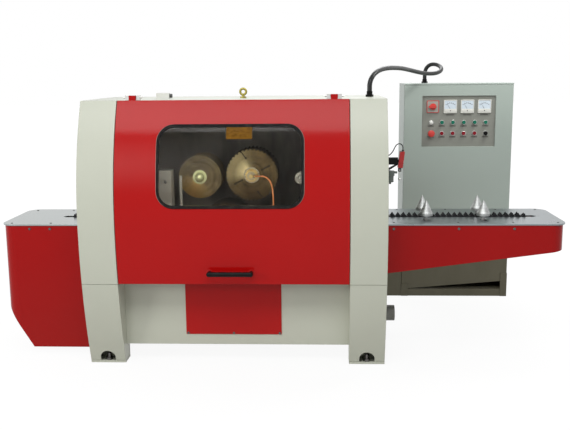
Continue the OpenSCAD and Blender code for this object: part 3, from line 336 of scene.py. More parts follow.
fill(tree, gout["Colour"], blend_colour(tree, calc(tree, "ADD", film, scuffs), coat, gin["Film"]))
gloss = calc(tree, "SUBTRACT", noise(tree, place, GLOSS_SCALE, 3), 0.45)
fill(tree, gout["Roughness"],
     calc(tree, "ADD", gin["Gloss roughness"], calc(tree, "MULTIPLY", GLOSS_SWING, gloss)))
peel = calc(tree, "MULTIPLY", noise(tree, place, PEEL_SCALE, 2), PEEL_SHARE)
fill(tree, gout["Height"], calc(tree, "ADD", peel, noise(tree, place, WAVE_SCALE, 1)))
print("group:", tree.name)

# %% [markdown]
# Edges are where paint gets rubbed thin. The Bevel node gives the normal that a rounded edge would have,
# and where it differs from the flat normal there is an edge. A noise breaks that line up. A painted edge
# map would do the same for one object only, while the node works on every piece.

# %% Rubbed edge group
CHIP_SCALE, BEVEL_SAMPLES = 24, 6
rubbed_edge, gin, gout = shader_group(
    "rubbed edge", [("Position", VECTOR, (0, 0, 0)), ("Width", NUMBER, 0.003)],
    [("Mask", NUMBER), ("Normal", VECTOR)])
tree = rubbed_edge
rounded = add(tree, "ShaderNodeBevel", {"Radius": gin["Width"]}, samples=BEVEL_SAMPLES).outputs[0]
flat = add(tree, "ShaderNodeNewGeometry").outputs["Normal"]
edge = spread(tree, vector_calc(tree, "DOT_PRODUCT", rounded, flat), 0.995, 0.86)
chips = spread(tree, noise(tree, gin["Position"], CHIP_SCALE, 5), 0.42, 0.62)
fill(tree, gout["Mask"], calc(tree, "MULTIPLY", edge, chips))
fill(tree, gout["Normal"], rounded)
print("group:", tree.name)

# %% [markdown]
# Some solids carry two finishes, such as the body that is clean outside and brown with sawdust inside. A
# mesh could be split and given two materials, but the solids stay as they are. A box test on the position
# tells the sides apart, so that one material serves both.

# %% Box mask group
box_mask, gin, gout = shader_group(
    "box mask", [("Position", VECTOR, (0, 0, 0)), ("Low", VECTOR, (0, 0, 0)), ("High", VECTOR, (1, 1, 1))],
    [("Mask", NUMBER)])
tree = box_mask
least = vector_calc(tree, "MINIMUM", vector_calc(tree, "SUBTRACT", gin["Position"], gin["Low"]),
                    vector_calc(tree, "SUBTRACT", gin["High"], gin["Position"]))
parts = add(tree, "ShaderNodeSeparateXYZ", {"Vector": least}).outputs
smallest = calc(tree, "MINIMUM", calc(tree, "MINIMUM", parts[0], parts[1]), parts[2])
fill(tree, gout["Mask"], calc(tree, "GREATER_THAN", smallest, 0.0))


def inside_box(tree, place, low, high):
    return use_group(tree, box_mask, {"Position": place, "Low": spot(*low), "High": spot(*high)})["Mask"]


print("group:", tree.name)

# %% [markdown]
# The body, the cabinet and the covers are sprayed sheet steel. One function lays the paint, and zones
# change its colour where the real piece looks different. The inside of the body is lined with sawdust and
# painted darker than the outside as painted shade for the dark inside, and lighter towards the left as
# painted light. The foot of the cabinet is a dusty olive, darkened as painted shade under the infeed
# table. A second object for each zone would also work, but then its edge would have to be cut into
# the sheet.

# %% Painted sheet
EDGE_SHARE, PEEL_DEPTH, ZONE_STRETCH = 0.45, 0.0006, (9, 9, 3)


def zone_colour(tree, place, zone):
    grains = noise(tree, vector_calc(tree, "MULTIPLY", place, ZONE_STRETCH), 1.0, 5)
    lowest, highest = spot(*zone["low"]).x, spot(*zone["high"]).x
    # The lean tilts the share along X; on the body's lining it paints the left lighter, as painted light.
    tilt = spread(tree, axis_of(tree, place, "X"), lowest, highest, zone["lean"], -zone["lean"])
    share = spread(tree, calc(tree, "ADD", grains, tilt), 0.32, 0.68)
    return blend_colour(tree, share, zone["clean"], zone["dusty"])


def painted(name, paint, film, clouds, floor_film, roughness, specular, edge_colour, edge_width=0.003, zones=()):
    made, tree, surface, place = material(name)
    skin = use_group(tree, paint_skin, {"Position": place, "Paint": paint, "Film": film, "Clouds": clouds,
                                        "Floor film": floor_film, "Gloss roughness": roughness})
    edge = use_group(tree, rubbed_edge, {"Position": place, "Width": edge_width})
    colour = blend_colour(tree, calc(tree, "MULTIPLY", edge["Mask"], EDGE_SHARE), skin["Colour"], edge_colour)
    for zone in zones:
        mask = inside_box(tree, place, zone["low"], zone["high"])
        colour = blend_colour(tree, mask, colour, zone_colour(tree, place, zone))
    surface.inputs["Specular IOR Level"].default_value = specular
    coat_surface(tree, surface, colour, skin, PEEL_DEPTH, edge["Normal"])
    return made


print("groups under the paint:", paint_skin.name, rubbed_edge.name, box_mask.name)

# %% [markdown]
# The front door and the access panel are a deep gloss red. The skirts of the tables have the same red,
# painted a little darker as painted shade, and a little duller. Columns, legs and base are a warm pale
# grey, and the cabinet is a cooler grey that turns a dark olive near the floor, dust with painted shade
# under the infeed table. One material with the colour as an object property would be shorter, but
# separate finishes can be worn and dusted in their own way.

# %% Red, grey and cabinet paint
# Body lining: sawdust, with painted shade that keeps the inside dark and a lean that paints the left lighter.
LINING_DUST_AND_SHADE = {"low": (-668.5, -351, 108), "high": (668.5, 400.5, 1551.5), "lean": 0.26,
          "clean": rgb(0.118, 0.104, 0.078), "dusty": rgb(0.300, 0.268, 0.205)}
# Cabinet foot: dusty olive with painted shade, darker under the infeed table.
FOOT_DUST_AND_SHADE = {"low": (1000, 1000, -1), "high": (2000, 1500, 440), "lean": 0.0,
             "clean": rgb(0.092, 0.084, 0.050), "dusty": rgb(0.110, 0.100, 0.063)}
RED_DUST = rgb(0.20, 0.08, 0.06)
CABINET_COAT = {"paint": rgb(0.385, 0.445, 0.405), "film": rgb(0.25, 0.24, 0.20), "clouds": 0.05,
                "floor_film": 0.25, "roughness": 0.36, "specular": 0.4, "edge_colour": rgb(0.30, 0.31, 0.28),
                "zones": [FOOT_DUST_AND_SHADE]}
red_paint = painted("red paint", paint=rgb(0.43, 0.0035, 0.0035), film=RED_DUST, clouds=0.12, floor_film=0.08,
                    roughness=0.12, specular=0.15, edge_colour=rgb(0.42, 0.08, 0.06))
grey_paint = painted("grey paint", paint=rgb(0.54, 0.558, 0.470), film=rgb(0.34, 0.31, 0.25), clouds=0.06,
                     floor_film=0.18, roughness=0.34, specular=0.35, edge_colour=rgb(0.42, 0.41, 0.36),
                     zones=[LINING_DUST_AND_SHADE])
cabinet_paint = painted("cabinet paint", **CABINET_COAT)
# The skirt red is the door red painted darker: a painted shade.
skirt_paint = painted("skirt paint", paint=rgb(0.365, 0.0020, 0.0020), film=RED_DUST, clouds=0.14,
                      floor_film=0.10, roughness=0.14, specular=0.14, edge_colour=rgb(0.36, 0.07, 0.05))
dress(red_paint, "front_door", "access_panel")
dress(skirt_paint, "table_skirts")
dress(grey_paint, "base_frame", "front_legs", "side_columns", "top_cover")
dress(cabinet_paint, "cabinet_body", "cabinet_plinth")

# %% [markdown]
# Castings and motors have a thicker, duller enamel. The guide inside the window is bare pale casting, the
# filter bowl is a smoky grey, and the suction pipe under the body is dull and dusty. Each could have a
# tree of its own, but the paint function with other values gives all four.

# %% Enamel and castings
enamel = painted("machine enamel", paint=rgb(0.25, 0.27, 0.27), film=rgb(0.16, 0.13, 0.09), clouds=0.2,
                 floor_film=0.3, roughness=0.42, specular=0.4, edge_colour=rgb(0.35, 0.35, 0.34))
pale_casting = painted("pale casting", paint=rgb(0.33, 0.32, 0.275), film=rgb(0.22, 0.18, 0.12), clouds=0.25,
                       floor_film=0.3, roughness=0.40, specular=0.4, edge_colour=rgb(0.60, 0.58, 0.52))
smoked_bowl = painted("smoked bowl", paint=rgb(0.105, 0.125, 0.110), film=rgb(0.08, 0.08, 0.07), clouds=0.2,
                      floor_film=0.1, roughness=0.24, specular=0.5, edge_colour=rgb(0.20, 0.22, 0.20),
                      edge_width=0.002)
dusty_pipe = painted("dusty pipe", paint=rgb(0.25, 0.26, 0.24), film=rgb(0.20, 0.18, 0.13), clouds=0.3,
                     floor_film=0.4, roughness=0.45, specular=0.3, edge_colour=rgb(0.34, 0.34, 0.31))
dress(enamel, "bearing_housings", "drive_motors")
dress(pale_casting, "guide_block")
dress(smoked_bowl, "filter_bowl")
dress(dusty_pipe, "dust_spigot")

# %% [markdown]
# ## Bare metal
# Worked metal shows how it was cut: ground plates have straight grain, and turned pieces have rings. Fine
# geometry for each scratch would be far too heavy. Both are noise, the first squeezed along one direction
# and the second read along the radius.

# %% Ground and turned metal groups
GROUND_STAINS, TURNED_STAINS = 7, 22
ACROSS_AXIS = (1, 1, 0)
METAL_OUTPUTS = [("Colour", COLOUR), ("Roughness", NUMBER), ("Height", NUMBER)]
ground_metal, gin, gout = shader_group(
    "ground metal",
    [("Position", VECTOR, (0, 0, 0)), ("Metal", COLOUR, rgb(0.6, 0.6, 0.6)), ("Grain", VECTOR, (6, 300, 300)),
     ("Base roughness", NUMBER, 0.3)], METAL_OUTPUTS)
tree = ground_metal
grain = noise(tree, vector_calc(tree, "MULTIPLY", gin["Position"], gin["Grain"]), 1.0, 4)
stains = noise(tree, gin["Position"], GROUND_STAINS, 4)
marks = calc(tree, "ADD", calc(tree, "MULTIPLY", grain, 0.20), calc(tree, "MULTIPLY", stains, 0.24))
fill(tree, gout["Colour"], vector_calc(tree, "SCALE", gin["Metal"], calc(tree, "ADD", 0.78, marks)))
fill(tree, gout["Roughness"], calc(tree, "ADD", gin["Base roughness"], calc(tree, "MULTIPLY", stains, 0.10)))
fill(tree, gout["Height"], grain)

turned_metal, gin, gout = shader_group(
    "turned metal",
    [("Centred", VECTOR, (0, 0, 0)), ("Metal", COLOUR, rgb(0.6, 0.6, 0.6)), ("Rings", NUMBER, 900.0),
     ("Base roughness", NUMBER, 0.25)], METAL_OUTPUTS)
tree = turned_metal
radius = vector_calc(tree, "LENGTH", vector_calc(tree, "MULTIPLY", gin["Centred"], ACROSS_AXIS))
rings = add(tree, "ShaderNodeTexNoise", {"W": radius, "Scale": gin["Rings"], "Detail": 3.0},
            noise_dimensions="1D").outputs[0]
stains = noise(tree, gin["Centred"], TURNED_STAINS, 4)
tone = calc(tree, "MULTIPLY", spread(tree, rings, 0.3, 0.7, 0.68, 1.32),
            spread(tree, stains, 0.3, 0.7, 0.66, 1.34))
fill(tree, gout["Colour"], vector_calc(tree, "SCALE", gin["Metal"], tone))
fill(tree, gout["Roughness"], calc(tree, "ADD", gin["Base roughness"], calc(tree, "MULTIPLY", stains, 0.2)))
fill(tree, gout["Height"], rings)
print("groups:", ground_metal.name, turned_metal.name)

# %% [markdown]
# Table plates and rails are ground steel, smooth enough to mirror the cabinet behind them. On the infeed
# side the steel is painted darker, a painted reflection of the dark cabinet foot that it mirrors, and it is
# a little duller. The chain is dark and oily, the screws are blackened, and the arbors are stained by
# resin. The blade nut is plated yellow and the lifting eye is olive. The domed nut of the discs is green
# zinc, painted pale as a painted reflection of bright surroundings, so it is only partly metallic.
# One function serves them all.

# %% Ground steel, chain and fittings
STEEL_EDGE = 0.0015


def ground(name, metal, grain, roughness, depth, metallic=1.0, zone=None):
    made, tree, surface, place = material(name)
    if zone:
        mask = inside_box(tree, place, zone["low"], zone["high"])
        metal = blend_colour(tree, mask, metal, zone["metal"])
        roughness = calc(tree, "ADD", roughness, calc(tree, "MULTIPLY", mask, zone["duller"]))
    steel = use_group(tree, ground_metal, {"Position": place, "Metal": metal, "Grain": grain,
                                           "Base roughness": roughness})
    edge = use_group(tree, rubbed_edge, {"Position": place, "Width": STEEL_EDGE})
    surface.inputs["Metallic"].default_value = metallic
    coat_surface(tree, surface, steel["Colour"], steel, depth, edge["Normal"])
    return made


# Infeed zone: a darker steel colour, a painted reflection of the dark cabinet foot, and a little duller.
INFEED_TOP = {"low": (800, -400, 700), "high": (2000, 400, 900), "metal": rgb(0.235, 0.262, 0.272), "duller": 0.06}
table_steel = ground("table steel", rgb(0.345, 0.375, 0.37), grain=(5, 260, 260), roughness=0.18, depth=0.00002,
                     zone=INFEED_TOP)
bright_steel = ground("bright steel", rgb(0.62, 0.62, 0.60), grain=(200, 200, 200), roughness=0.24, depth=0.00003)
black_steel = ground("blackened steel", rgb(0.115, 0.11, 0.105), grain=(160, 160, 160), roughness=0.22,
                     depth=0.00004)
chain_steel = ground("chain steel", rgb(0.034, 0.034, 0.036), grain=(60, 60, 60), roughness=0.38, depth=0.00008)
hub_steel = ground("hub steel", rgb(0.46, 0.40, 0.28), grain=(150, 150, 150), roughness=0.22, depth=0.00004)
yellow_zinc = ground("yellow zinc", rgb(0.62, 0.46, 0.19), grain=(90, 90, 90), roughness=0.16, depth=0.00003)
olive_zinc = ground("olive zinc", rgb(0.34, 0.29, 0.075), grain=(90, 90, 90), roughness=0.30, depth=0.00004)
# Guide nut: green zinc painted pale and partly matt, a painted reflection of bright surroundings.
dull_zinc = ground("dull zinc", rgb(0.80, 0.84, 0.44), grain=(70, 70, 70), roughness=0.14, depth=0.00003,
                   metallic=0.4)
dress(table_steel, "table_plates", "chain_rail")
dress(bright_steel, "hinge_blocks", "drive_sprocket", "idler_sprocket", "switch_lever", "guide_shaft")
dress(hub_steel, "upper_arbor", "lower_arbor")
dress(black_steel, "fasteners")
dress(chain_steel, "feed_chain")
dress(yellow_zinc, "upper_nut", "coolant_union")
dress(dull_zinc, "guide_nut")
dress(olive_zinc, "lifting_eye")

# %% [markdown]
# Resin stains the blades and discs a gold brown. One sector of each gets a painted highlight: a gold fan of
# glint that is strongest near the hub and fades towards the rim. The direction from the axis, compared with
# the middle of the fan, gives a mask for it, and a noise that runs along the radius breaks it into
# streaks. A painted map could do this for one blade, but a mask made of nodes serves any round piece.

# %% Painted glint sector
HUB_REACH, RIM_SHARE, SECTOR_GAIN, SECTOR_POWER, STREAK_SCALE = 0.045, 0.30, 1.4, 3.0, 2.2


def painted_glint_share(tree, centred, toward, reach):
    flat = vector_calc(tree, "MULTIPLY", centred, ACROSS_AXIS)
    way = vector_calc(tree, "NORMALIZE", flat)
    facing = calc(tree, "MAXIMUM", vector_calc(tree, "DOT_PRODUCT", way, toward), 0.0)
    sector = calc(tree, "MULTIPLY", calc(tree, "POWER", facing, SECTOR_POWER), SECTOR_GAIN)
    streaks = noise(tree, vector_calc(tree, "ADD", way, centred), STREAK_SCALE, 3)
    fade = spread(tree, vector_calc(tree, "LENGTH", flat), HUB_REACH, reach, 1.0, RIM_SHARE)
    return calc(tree, "MULTIPLY", calc(tree, "MULTIPLY", sector, fade),
                spread(tree, streaks, 0.3, 0.7, 0.60, 1.0))


print("sector: full up to", HUB_REACH, "m from the axis, then down to a share of", RIM_SHARE)

# %% [markdown]
# Blades, discs and cones are turned or ground round, so their rings are centred on their own axis with a
# Mapping node. The blades behind the front one get a painted shade: from the front plane on their colour
# turns dark, for the shadow of the front blade and the chips on them, so the slots of the front blade read
# as dark lines. A radial tangent with anisotropy stretches each glint across the rings. Real grooves in
# the mesh would do that too, with thousands of faces for each disc.

# %% Turned finish
SHADE_DEPTH, TURNED_SPECULAR = 0.004, 0.2
AXIS_TO_Z = (math.pi / 2, 0, 0)


def turned(name, metal, centre, lies_along_y, rings, roughness, depth, front_plane=None, swirl=0.0, glint=None,
           behind=rgb(0.048, 0.038, 0.025), metallic=1.0):
    made, tree, surface, place = material(name)
    centred = add(tree, "ShaderNodeMapping", {"Vector": place, "Location": centre},
                  vector_type="TEXTURE").outputs[0]
    if lies_along_y:
        centred = add(tree, "ShaderNodeMapping", {"Vector": centred, "Rotation": AXIS_TO_Z}).outputs[0]
    look = use_group(tree, turned_metal, {"Centred": centred, "Metal": metal, "Rings": rings,
                                          "Base roughness": roughness})
    colour = look["Colour"]
    surface.inputs["Metallic"].default_value = metallic
    surface.inputs["Specular IOR Level"].default_value = TURNED_SPECULAR
    # Painted highlight: the glint fan brightens the colour and the metallic share.
    if glint:
        share = painted_glint_share(tree, centred, glint["toward"], glint["reach"])
        colour = blend_colour(tree, share, colour, glint["bright"])
        fill(tree, surface.inputs["Metallic"], spread(tree, share, 0.0, 1.0, metallic, 1.0))
    # Painted shade: behind the front plane the colour turns dark, for the shadow of the front blade.
    if front_plane is not None:
        plane = spot(0, front_plane, 0).y
        shade = spread(tree, axis_of(tree, place, "Y"), plane, plane + SHADE_DEPTH)
        colour = blend_colour(tree, shade, colour, behind)
    coat_surface(tree, surface, colour, look, depth)
    if swirl:
        surface.inputs["Anisotropic"].default_value = swirl
        tangent = add(tree, "ShaderNodeTangent", direction_type="RADIAL", axis="Y")
        fill(tree, surface.inputs["Tangent"], tangent.outputs[0])
    return made


print("pieces behind the front plane darken over", SHADE_DEPTH, "m")

# %% [markdown]
# The upper blades and the guide discs show through the window, dulled by resin and therefore only partly
# metallic, each with its painted glint fan. The lower blades lie in the dark below, with the same painted
# shade from their front plane on. The four cones that keep the log in line on the infeed table are bare
# turned aluminium with close rings. One finish could serve all of them, but each set has its own axis
# and its own wear.

# %% Turned pieces
UPPER_ARBOR, LOWER_ARBOR, DISC_SHAFT, FRONT_BLADE_Y = (83, 1095), (-75, 770), (-235, 1084), -106


def shaft_centre(shaft):
    return spot(shaft[0], 0, shaft[1])


# The fan given to these blades and discs is a painted highlight.
dress(turned("upper blade steel", rgb(0.148, 0.103, 0.042), shaft_centre(UPPER_ARBOR), True, rings=75,
             roughness=0.27, depth=0.00003, front_plane=FRONT_BLADE_Y, swirl=0.85, metallic=0.62,
             glint={"toward": (-0.85, -0.53, 0), "reach": 0.11, "bright": rgb(1.0, 0.86, 0.46)}), "upper_blades")
dress(turned("lower blade steel", rgb(0.14, 0.11, 0.07), shaft_centre(LOWER_ARBOR), True, rings=700,
             roughness=0.45, depth=0.00003, front_plane=FRONT_BLADE_Y, swirl=0.8,
             behind=rgb(0.11, 0.094, 0.065)), "lower_blades")
dress(turned("guide disc steel", rgb(0.200, 0.152, 0.076), shaft_centre(DISC_SHAFT), True, rings=60,
             roughness=0.30, depth=0.00003, swirl=0.8, metallic=0.62,
             glint={"toward": (-0.50, 0.87, 0), "reach": 0.60, "bright": rgb(0.90, 0.62, 0.21)}), "guide_discs")
for number, x in ((1, 1143), (2, 1488)):
    for side, y in (("front", -100), ("rear", 100)):
        cone = f"cone_{side}_{number}"
        dress(turned(cone + " aluminium", rgb(0.42, 0.43, 0.425), spot(x, y, 0), False, rings=700,
                     roughness=0.40, depth=0.0001), cone)

# %% [markdown]
# ## Plastic, rubber and glass
# Moulded plastic and rubber get a fine grain, a little dust in the hollows and a roughness that varies. A
# displaced mesh could carry the pores, but at this size a bump is enough.

# %% Moulded grain group
PATCH_SCALE, PORE_SCALE = 30, 1600
WORKSHOP_DUST = rgb(0.42, 0.39, 0.34)
moulded, gin, gout = shader_group(
    "moulded grain",
    [("Position", VECTOR, (0, 0, 0)), ("Pigment", COLOUR, rgb(0.03, 0.03, 0.03)), ("Dust", NUMBER, 0.1),
     ("Base roughness", NUMBER, 0.4)],
    [("Colour", COLOUR), ("Roughness", NUMBER), ("Height", NUMBER)])
tree = moulded
patches = noise(tree, gin["Position"], PATCH_SCALE, 4)
dusty = calc(tree, "MULTIPLY", gin["Dust"], spread(tree, patches, 0.45, 0.75))
fill(tree, gout["Colour"], blend_colour(tree, dusty, gin["Pigment"], WORKSHOP_DUST))
fill(tree, gout["Roughness"], calc(tree, "ADD", gin["Base roughness"], calc(tree, "MULTIPLY", patches, 0.18)))
fill(tree, gout["Height"], noise(tree, gin["Position"], PORE_SCALE, 2))
print("group:", tree.name)

# %% [markdown]
# Caps, knobs, glands and switch housings differ only in pigment and gloss, so one function makes them all.
# Two of them are moulded in two colours: the limit switch has a red box between black ends, and the door
# switch has a dark tip. The box mask gives these, as it did on the painted sheets.

# %% Moulded finishes
MOULDED_EDGE, MOULDED_DEPTH = 0.0012, 0.00003


def moulded_finish(name, pigment, dust, roughness, depth=MOULDED_DEPTH, zone=None, specular=0.5):
    made, tree, surface, place = material(name)
    if zone:
        mask = inside_box(tree, place, zone["low"], zone["high"])
        pigment = blend_colour(tree, mask, pigment, zone["pigment"])
    grain = use_group(tree, moulded, {"Position": place, "Pigment": pigment, "Dust": dust,
                                      "Base roughness": roughness})
    edge = use_group(tree, rubbed_edge, {"Position": place, "Width": MOULDED_EDGE})
    surface.inputs["Specular IOR Level"].default_value = specular
    coat_surface(tree, surface, grain["Colour"], grain, depth, edge["Normal"])
    return made


DARK_TIP = {"low": (-418, -1000, 1500), "high": (-350, 1000, 1700), "pigment": rgb(0.05, 0.05, 0.05)}
RED_BOX = {"low": (900, -300, 1136), "high": (1100, 100, 1234), "pigment": rgb(0.45, 0.010, 0.010)}
black_plastic = moulded_finish("black plastic", rgb(0.006, 0.006, 0.006), dust=0.01, roughness=0.10, specular=0.09)
door_switch = moulded_finish("door switch", rgb(0.74, 0.74, 0.70), dust=0.08, roughness=0.40, zone=DARK_TIP)
arm_switch = moulded_finish("arm switch", rgb(0.012, 0.012, 0.012), dust=0.05, roughness=0.28, zone=RED_BOX)
green_cap = moulded_finish("green cap", rgb(0.005, 0.155, 0.095), dust=0.02, roughness=0.30, specular=0.25)
red_cap = moulded_finish("dark red cap", rgb(0.230, 0.005, 0.014), dust=0.02, roughness=0.30, specular=0.25)
stop_red = moulded_finish("stop red", rgb(0.62, 0.045, 0.035), dust=0.03, roughness=0.26)
dress(black_plastic, "conduit_glands", "door_handle", "switch_bracket", "selector_knob")
dress(door_switch, "interlock_switch")
dress(arm_switch, "limit_switch")
dress(green_cap, *[f"green_button_{i}" for i in range(1, 6)])
dress(red_cap, *[f"red_button_{i}" for i in range(1, 5)])
dress(stop_red, "stop_mushroom", "main_switch_knob")

# %% [markdown]
# The pane is a thin tinted sheet. A low refractive index keeps its mirror image weak, as on a coated
# safety pane, and a slow noise smears its gloss. Glass that bends light also stops the straight rays from
# the lamps, and then the saws behind it would stay dark. For shadow rays alone the pane is therefore a
# plain tinted filter. Caustics would be the exact way, but they take far longer and leave grain.

# %% Window glass
PANE_TINT, FILTER_TINT, PANE_IOR = rgb(0.87, 0.86, 0.83), rgb(0.88, 0.87, 0.84), 1.17
SMEAR_STRETCH, SMEAR_ROUGHNESS = (5, 5, 2), 0.02
glass, tree, surface, place = material("window glass")
smears = noise(tree, vector_calc(tree, "MULTIPLY", place, SMEAR_STRETCH), 1.0, 4)
fill(tree, surface.inputs["Roughness"], spread(tree, smears, 0.3, 0.8, 0.0, SMEAR_ROUGHNESS))
surface.inputs["Base Color"].default_value = PANE_TINT
surface.inputs["Transmission Weight"].default_value = 1.0
surface.inputs["IOR"].default_value = PANE_IOR
clear_to_lamps = add(tree, "ShaderNodeBsdfTransparent", {"Color": FILTER_TINT}).outputs[0]
mixed = add(tree, "ShaderNodeMixShader", {"Fac": add(tree, "ShaderNodeLightPath").outputs["Is Shadow Ray"]})
fill(tree, mixed.inputs[1], surface.outputs[0])
fill(tree, mixed.inputs[2], clear_to_lamps)
tree.links.new(mixed.outputs[0], tree.nodes["Material Output"].inputs["Surface"])
dress(glass, "window_pane")

# %% [markdown]
# With the finishes ready, the three cords are laid along their routes. Each one stands for its plain tube
# in the CAD model, which is hidden. The conduit is black rubber with a soft gloss, the tube is tinted
# copper, and the switch cable is the same black plastic as the glands.

# %% Cords
conduit_rubber = moulded_finish("conduit rubber", rgb(0.010, 0.011, 0.011), dust=0.03, roughness=0.26, specular=0.3)
tube_copper = moulded_finish("copper tube", rgb(0.70, 0.24, 0.075), dust=0.02, roughness=0.20)
make_cord("conduit", CONDUIT_ROUTE, 30, "power_conduit", conduit_rubber)
make_cord("coolant_line", COOLANT_ROUTE, 9, "coolant_tube", tube_copper)
make_cord("limit_switch_cable", SWITCH_CABLE_ROUTE, 6, "switch_cable", black_plastic)

# %% [markdown]
# ## Pieces made here
# Fine pieces such as meters, the rubber round the window and a bare film on the pane are closed shells
# between loops of points. A loft joins one loop to the next, and a cap closes each end. Extruding in
# edit mode would give the same shells, but loops are easier to change by a number.

# %% Loops and lofts
def round_rect(x, z, half_w, half_h, corner, y, steps=5):
    loop = []
    for side, rise, first in ((1, -1, -90), (1, 1, 0), (-1, 1, 90), (-1, -1, 180)):
        for k in range(steps + 1):
            angle = math.radians(first + 90 * k / steps)
            loop.append((x + side * (half_w - corner) + corner * math.cos(angle), y,
                         z + rise * (half_h - corner) + corner * math.sin(angle)))
    return loop


def circle(x, z, radius, y, count=36):
    return [(x + radius * math.cos(2 * math.pi * k / count), y, z + radius * math.sin(2 * math.pi * k / count))
            for k in range(count)]


def loft(loops, finish=0, ring=False):
    count = len(loops[0])
    points = [p for loop in loops for p in loop]
    faces = []
    for k in range(len(loops) if ring else len(loops) - 1):
        here, there = k * count, (k + 1) % len(loops) * count
        faces += [(here + i, here + (i + 1) % count, there + (i + 1) % count, there + i) for i in range(count)]
    if not ring:
        faces += [tuple(range(count))[::-1], tuple(range(len(points) - count, len(points)))]
    return points, faces, finish


print("points in a rounded rectangle:", len(round_rect(0, 0, 2, 2, 1, 0)), "in a circle:", len(circle(0, 0, 1, 0)))

# %% [markdown]
# A piece gathers one or more shells in a single mesh, with a finish for each shell. Its normals are
# recalculated so that they point outwards, it is shaded smooth except at sharp edges, and it rides on the
# body of the machine that carries it. Separate objects joined later would give the same mesh with more
# steps.

# %% From shells to pieces
CREASE = 38


def ride_on(made, body, replaced=None):
    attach(made, body)
    if replaced:
        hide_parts(replaced)
    print(made.name, len(made.data.polygons), "faces on", body)


def make_piece(name, shapes, finishes, body, replaced=None, crease=CREASE):
    points, faces, marks = [], [], []
    for shape_points, shape_faces, mark in shapes:
        faces += [tuple(i + len(points) for i in face) for face in shape_faces]
        marks += [mark] * len(shape_faces)
        points += [spot(*p) for p in shape_points]
    mesh = bpy.data.meshes.new(name)
    mesh.from_pydata(points, [], faces)
    mesh.polygons.foreach_set("material_index", marks)
    for finish in finishes:
        mesh.materials.append(finish)
    shell = bmesh.new()
    shell.from_mesh(mesh)
    bmesh.ops.recalc_face_normals(shell, faces=shell.faces)
    shell.to_mesh(mesh)
    shell.free()
    mesh.shade_smooth()
    mesh.set_sharp_from_angle(angle=math.radians(crease))
    made = bpy.data.objects.new(name, mesh)
    scene.collection.objects.link(made)
    ride_on(made, body, replaced)
    return made


print("pieces are sharp at edges over", CREASE, "degrees")

# %% [markdown]
# The window sits in a rubber strip with two rounded lips and a groove between them. The strip follows a
# rounded rectangle on the curved front. A curve with a bevel profile could sweep it, but the front leans
# back as it rises, so the section is placed at each point of the path with the front's own slope.

# %% Front curve and path of the strip
BULGE_Z, FRONT_RADIUS, FRONT_REACH = 870, 1380, 535
WINDOW_X, WINDOW_Z, WINDOW_HALF_W, WINDOW_HALF_H, WINDOW_CORNER = -8, 1190, 413, 228, 93
CORNER_STEPS, SIDE_CUTS = 12, 14


def front_place(x, z, proud):
    rise = z - BULGE_Z
    depth = math.sqrt(FRONT_RADIUS**2 - rise**2)
    outward = Vector((0, -depth, rise)) / FRONT_RADIUS
    return Vector((x, -FRONT_REACH + FRONT_RADIUS - depth, z)) + outward * proud


def strip_path(u):
    corners = round_rect(WINDOW_X, WINDOW_Z, WINDOW_HALF_W + u, WINDOW_HALF_H + u, WINDOW_CORNER + u, 0, CORNER_STEPS)
    dense = []
    for i, (a, b) in enumerate(zip(corners, corners[1:] + corners[:1])):
        cuts = SIDE_CUTS if i % (CORNER_STEPS + 1) == CORNER_STEPS else 1
        dense += [tuple(p + (q - p) * k / cuts for p, q in zip(a, b)) for k in range(cuts)]
    return dense


path = strip_path(0)
print("points round the window:", len(path))

# %% [markdown]
# The outer lip of the strip gets a painted highlight: it is pale along the left and right sides of the
# window, where its rounded face catches the light. An attribute on the points tells the material where.
# Vertex paint would be the same thing made by hand.

# %% Window rubber
STRIP_SECTION = [(-12.0, -6.0), (-12.0, 0.4), (-11.5, 2.2), (-10.0, 3.7), (-7.9, 4.2), (-5.9, 3.6), (-4.9, 2.6),
                 (-3.8, 2.4), (-2.7, 3.3), (-1.3, 4.8), (0.7, 5.5), (2.9, 5.0), (4.5, 3.7), (5.5, 1.9), (5.8, 0.1),
                 (-2.6, 0.0), (-2.6, -6.0)]
LIP_FROM_U, LIP_FROM_PROUD, SHEEN_FROM, SHEEN_OVER = 4, 1, 0.45, 0.45
window_rubber, tree, surface, place = material("window rubber")
worn = add(tree, "ShaderNodeAttribute", attribute_name="lip_sheen").outputs["Fac"]
# Painted highlight: the pale colour on the outer lip stands for the light that it catches.
pigment = blend_colour(tree, worn, rgb(0.006, 0.006, 0.006), rgb(0.46, 0.42, 0.37))
grain = use_group(tree, moulded, {"Position": place, "Pigment": pigment, "Dust": 0.05, "Base roughness": 0.38})
surface.inputs["Specular IOR Level"].default_value = 0.12
coat_surface(tree, surface, grain["Colour"], grain, MOULDED_DEPTH)
loops = [[tuple(front_place(x, z, proud)) for x, _, z in strip_path(u)] for u, proud in STRIP_SECTION]
strip = make_piece("window_rubber", [loft(loops, ring=True)], [window_rubber], "front_door",
                   "window_gasket", crease=60)
lip = strip.data.attributes.new("lip_sheen", "FLOAT", "POINT")
for index in range(len(strip.data.vertices)):
    section, along = divmod(index, len(path))
    before, after = path[along - 1], path[(along + 1) % len(path)]
    sideways = abs(after[2] - before[2]) / math.hypot(after[0] - before[0], after[2] - before[2])
    u, proud = STRIP_SECTION[section]
    on_lip = 1.0 if u > LIP_FROM_U and proud > LIP_FROM_PROUD else 0.0
    lip.data[index].value = on_lip * max(0.0, min(1.0, (sideways - SHEEN_FROM) / SHEEN_OVER))

# %% [markdown]
# A bare amber film is stuck on the upper part of the pane. It is a thin closed sheet that follows the
# curve of the glass, with soft stains in its colour. A flat plane with a Shrinkwrap modifier would follow
# the glass too, but the front's own formula is exact. The points of its outline are counted from the top
# left corner down, along the lower edge, up and back. Each face of the sheet is cut into level bands
# between them, because a single large face would not bend.

